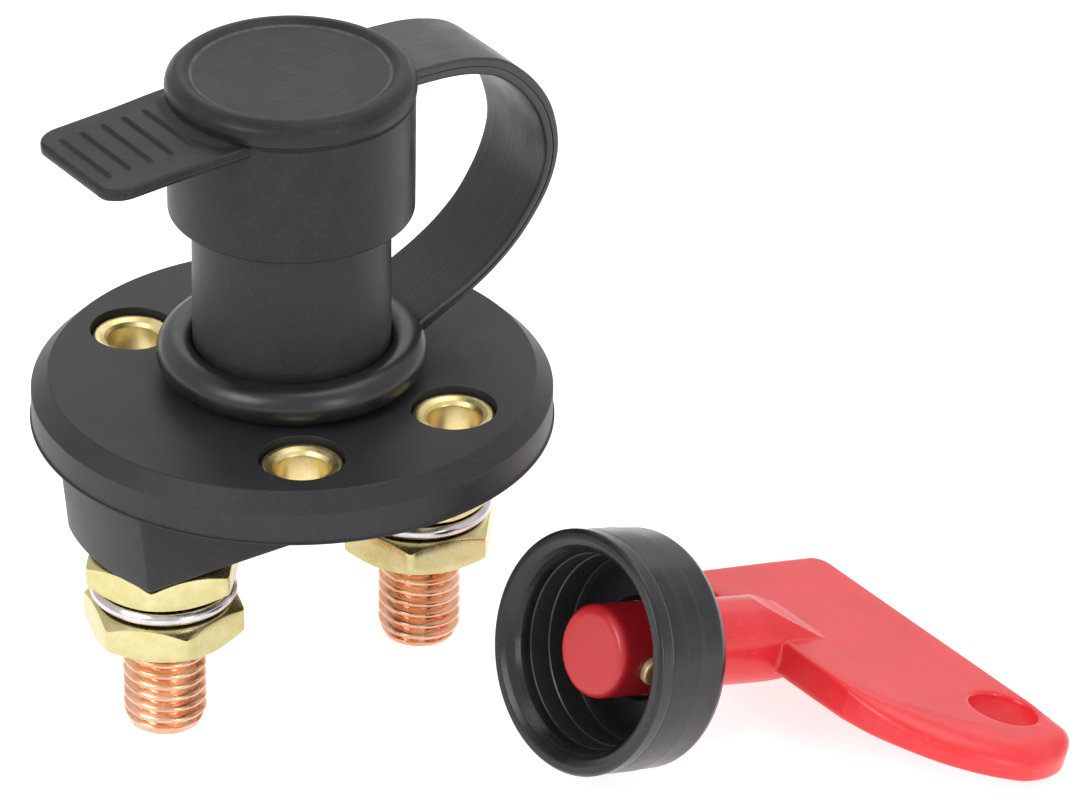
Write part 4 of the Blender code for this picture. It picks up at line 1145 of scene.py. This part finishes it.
# ------------------------------------------------------------------ stage
def make_floor():
    half, z = 6.0, (-35.64 + LIFT) * MM
    mesh = bpy.data.meshes.new("floor")
    mesh.from_pydata([(-half, -half, z), (half, -half, z), (half, half, z), (-half, half, z)], [],
                     [(0, 1, 2, 3)])
    floor = bpy.data.objects.new("floor", mesh)
    bpy.context.scene.collection.objects.link(floor)
    dark, light = (0.62, 0.62, 0.62), (0.64, 0.64, 0.64)
    look = Look("floor_paper")
    look.set("Base Color", look.mix(look.noise(size=60.0, detail=3, rough=0.5), dark, light))
    look.set("Roughness", 0.9)
    look.set("Emission Color", (1.0, 1.0, 1.0, 1.0))
    look.set("Emission Strength", 0.74)
    look.set("Specular IOR Level", 0.1)
    look.dress(floor)


def make_world():
    world = bpy.data.worlds.new("studio")
    bpy.context.scene.world = world
    world.use_nodes = True
    background = world.node_tree.nodes["Background"]
    background.inputs["Color"].default_value = (1.0, 1.0, 1.0, 1.0)
    background.inputs["Strength"].default_value = 0.80


def from_view(right, away, height):
    """A vector given as right of the camera's heading, away along it, and up."""
    c, s = math.cos(VIEW_TURN), math.sin(VIEW_TURN)
    return Vector((right * c + away * s, -right * s + away * c, height))


def area_light(name, place, target, size, power):
    """A rectangular light; places and sizes in metres."""
    data = bpy.data.lights.new(name, 'AREA')
    data.shape = 'RECTANGLE'
    data.size, data.size_y = size
    data.energy = power
    light = bpy.data.objects.new(name, data)
    light.location = place
    light.rotation_euler = (Vector(target) - place).to_track_quat('-Z', 'Y').to_euler()
    bpy.context.scene.collection.objects.link(light)


def make_camera():
    elevation, roll = math.radians(29.8), math.radians(-0.24)
    ce, se, cr, sr = math.cos(elevation), math.sin(elevation), math.cos(roll), math.sin(roll)
    right = from_view(cr, sr * se, sr * ce)
    down = from_view(sr, -cr * se, -cr * ce)
    forward = from_view(0.0, ce, -se)
    # placed from the flange's top, in mm
    position = from_view(-0.07, -869.65, 493.68) + Vector((0, 0, FLANGE_TOP + LIFT))
    data = bpy.data.cameras.new("camera")
    data.sensor_width = 36.0
    data.lens = 285.33333
    data.shift_x = 0.23009259
    data.shift_y = -0.0055555556
    data.clip_start = 0.01
    data.clip_end = 50.0
    camera = bpy.data.objects.new("camera", data)
    rows = [(r, -d, -f, p * MM) for r, d, f, p in zip(right, down, forward, position)]
    camera.matrix_world = Matrix((*rows, (0, 0, 0, 1)))
    bpy.context.scene.collection.objects.link(camera)
    bpy.context.scene.camera = camera


make_floor()
make_world()
area_light("key_light", place=from_view(-0.60, -0.55, 0.60), target=(0, 0, 0.01),
           size=(0.5, 0.5), power=4.0)
area_light("back_softbox", place=from_view(0.25, 1.10, 0.85), target=(0.02, 0, 0),
           size=(1.3, 0.6), power=2.3)
area_light("top_light", place=from_view(0.25, 0.10, 1.00), target=(0, 0, 0.01),
           size=(0.6, 0.6), power=2.6)
area_light("side_strip", place=from_view(0.62, -0.85, 0.40), target=(0.02, -0.03, 0),
           size=(0.10, 0.5), power=2.0)
make_camera()
bpy.context.scene.view_settings.view_transform = 'Standard'
bpy.context.scene.view_settings.look = 'None'
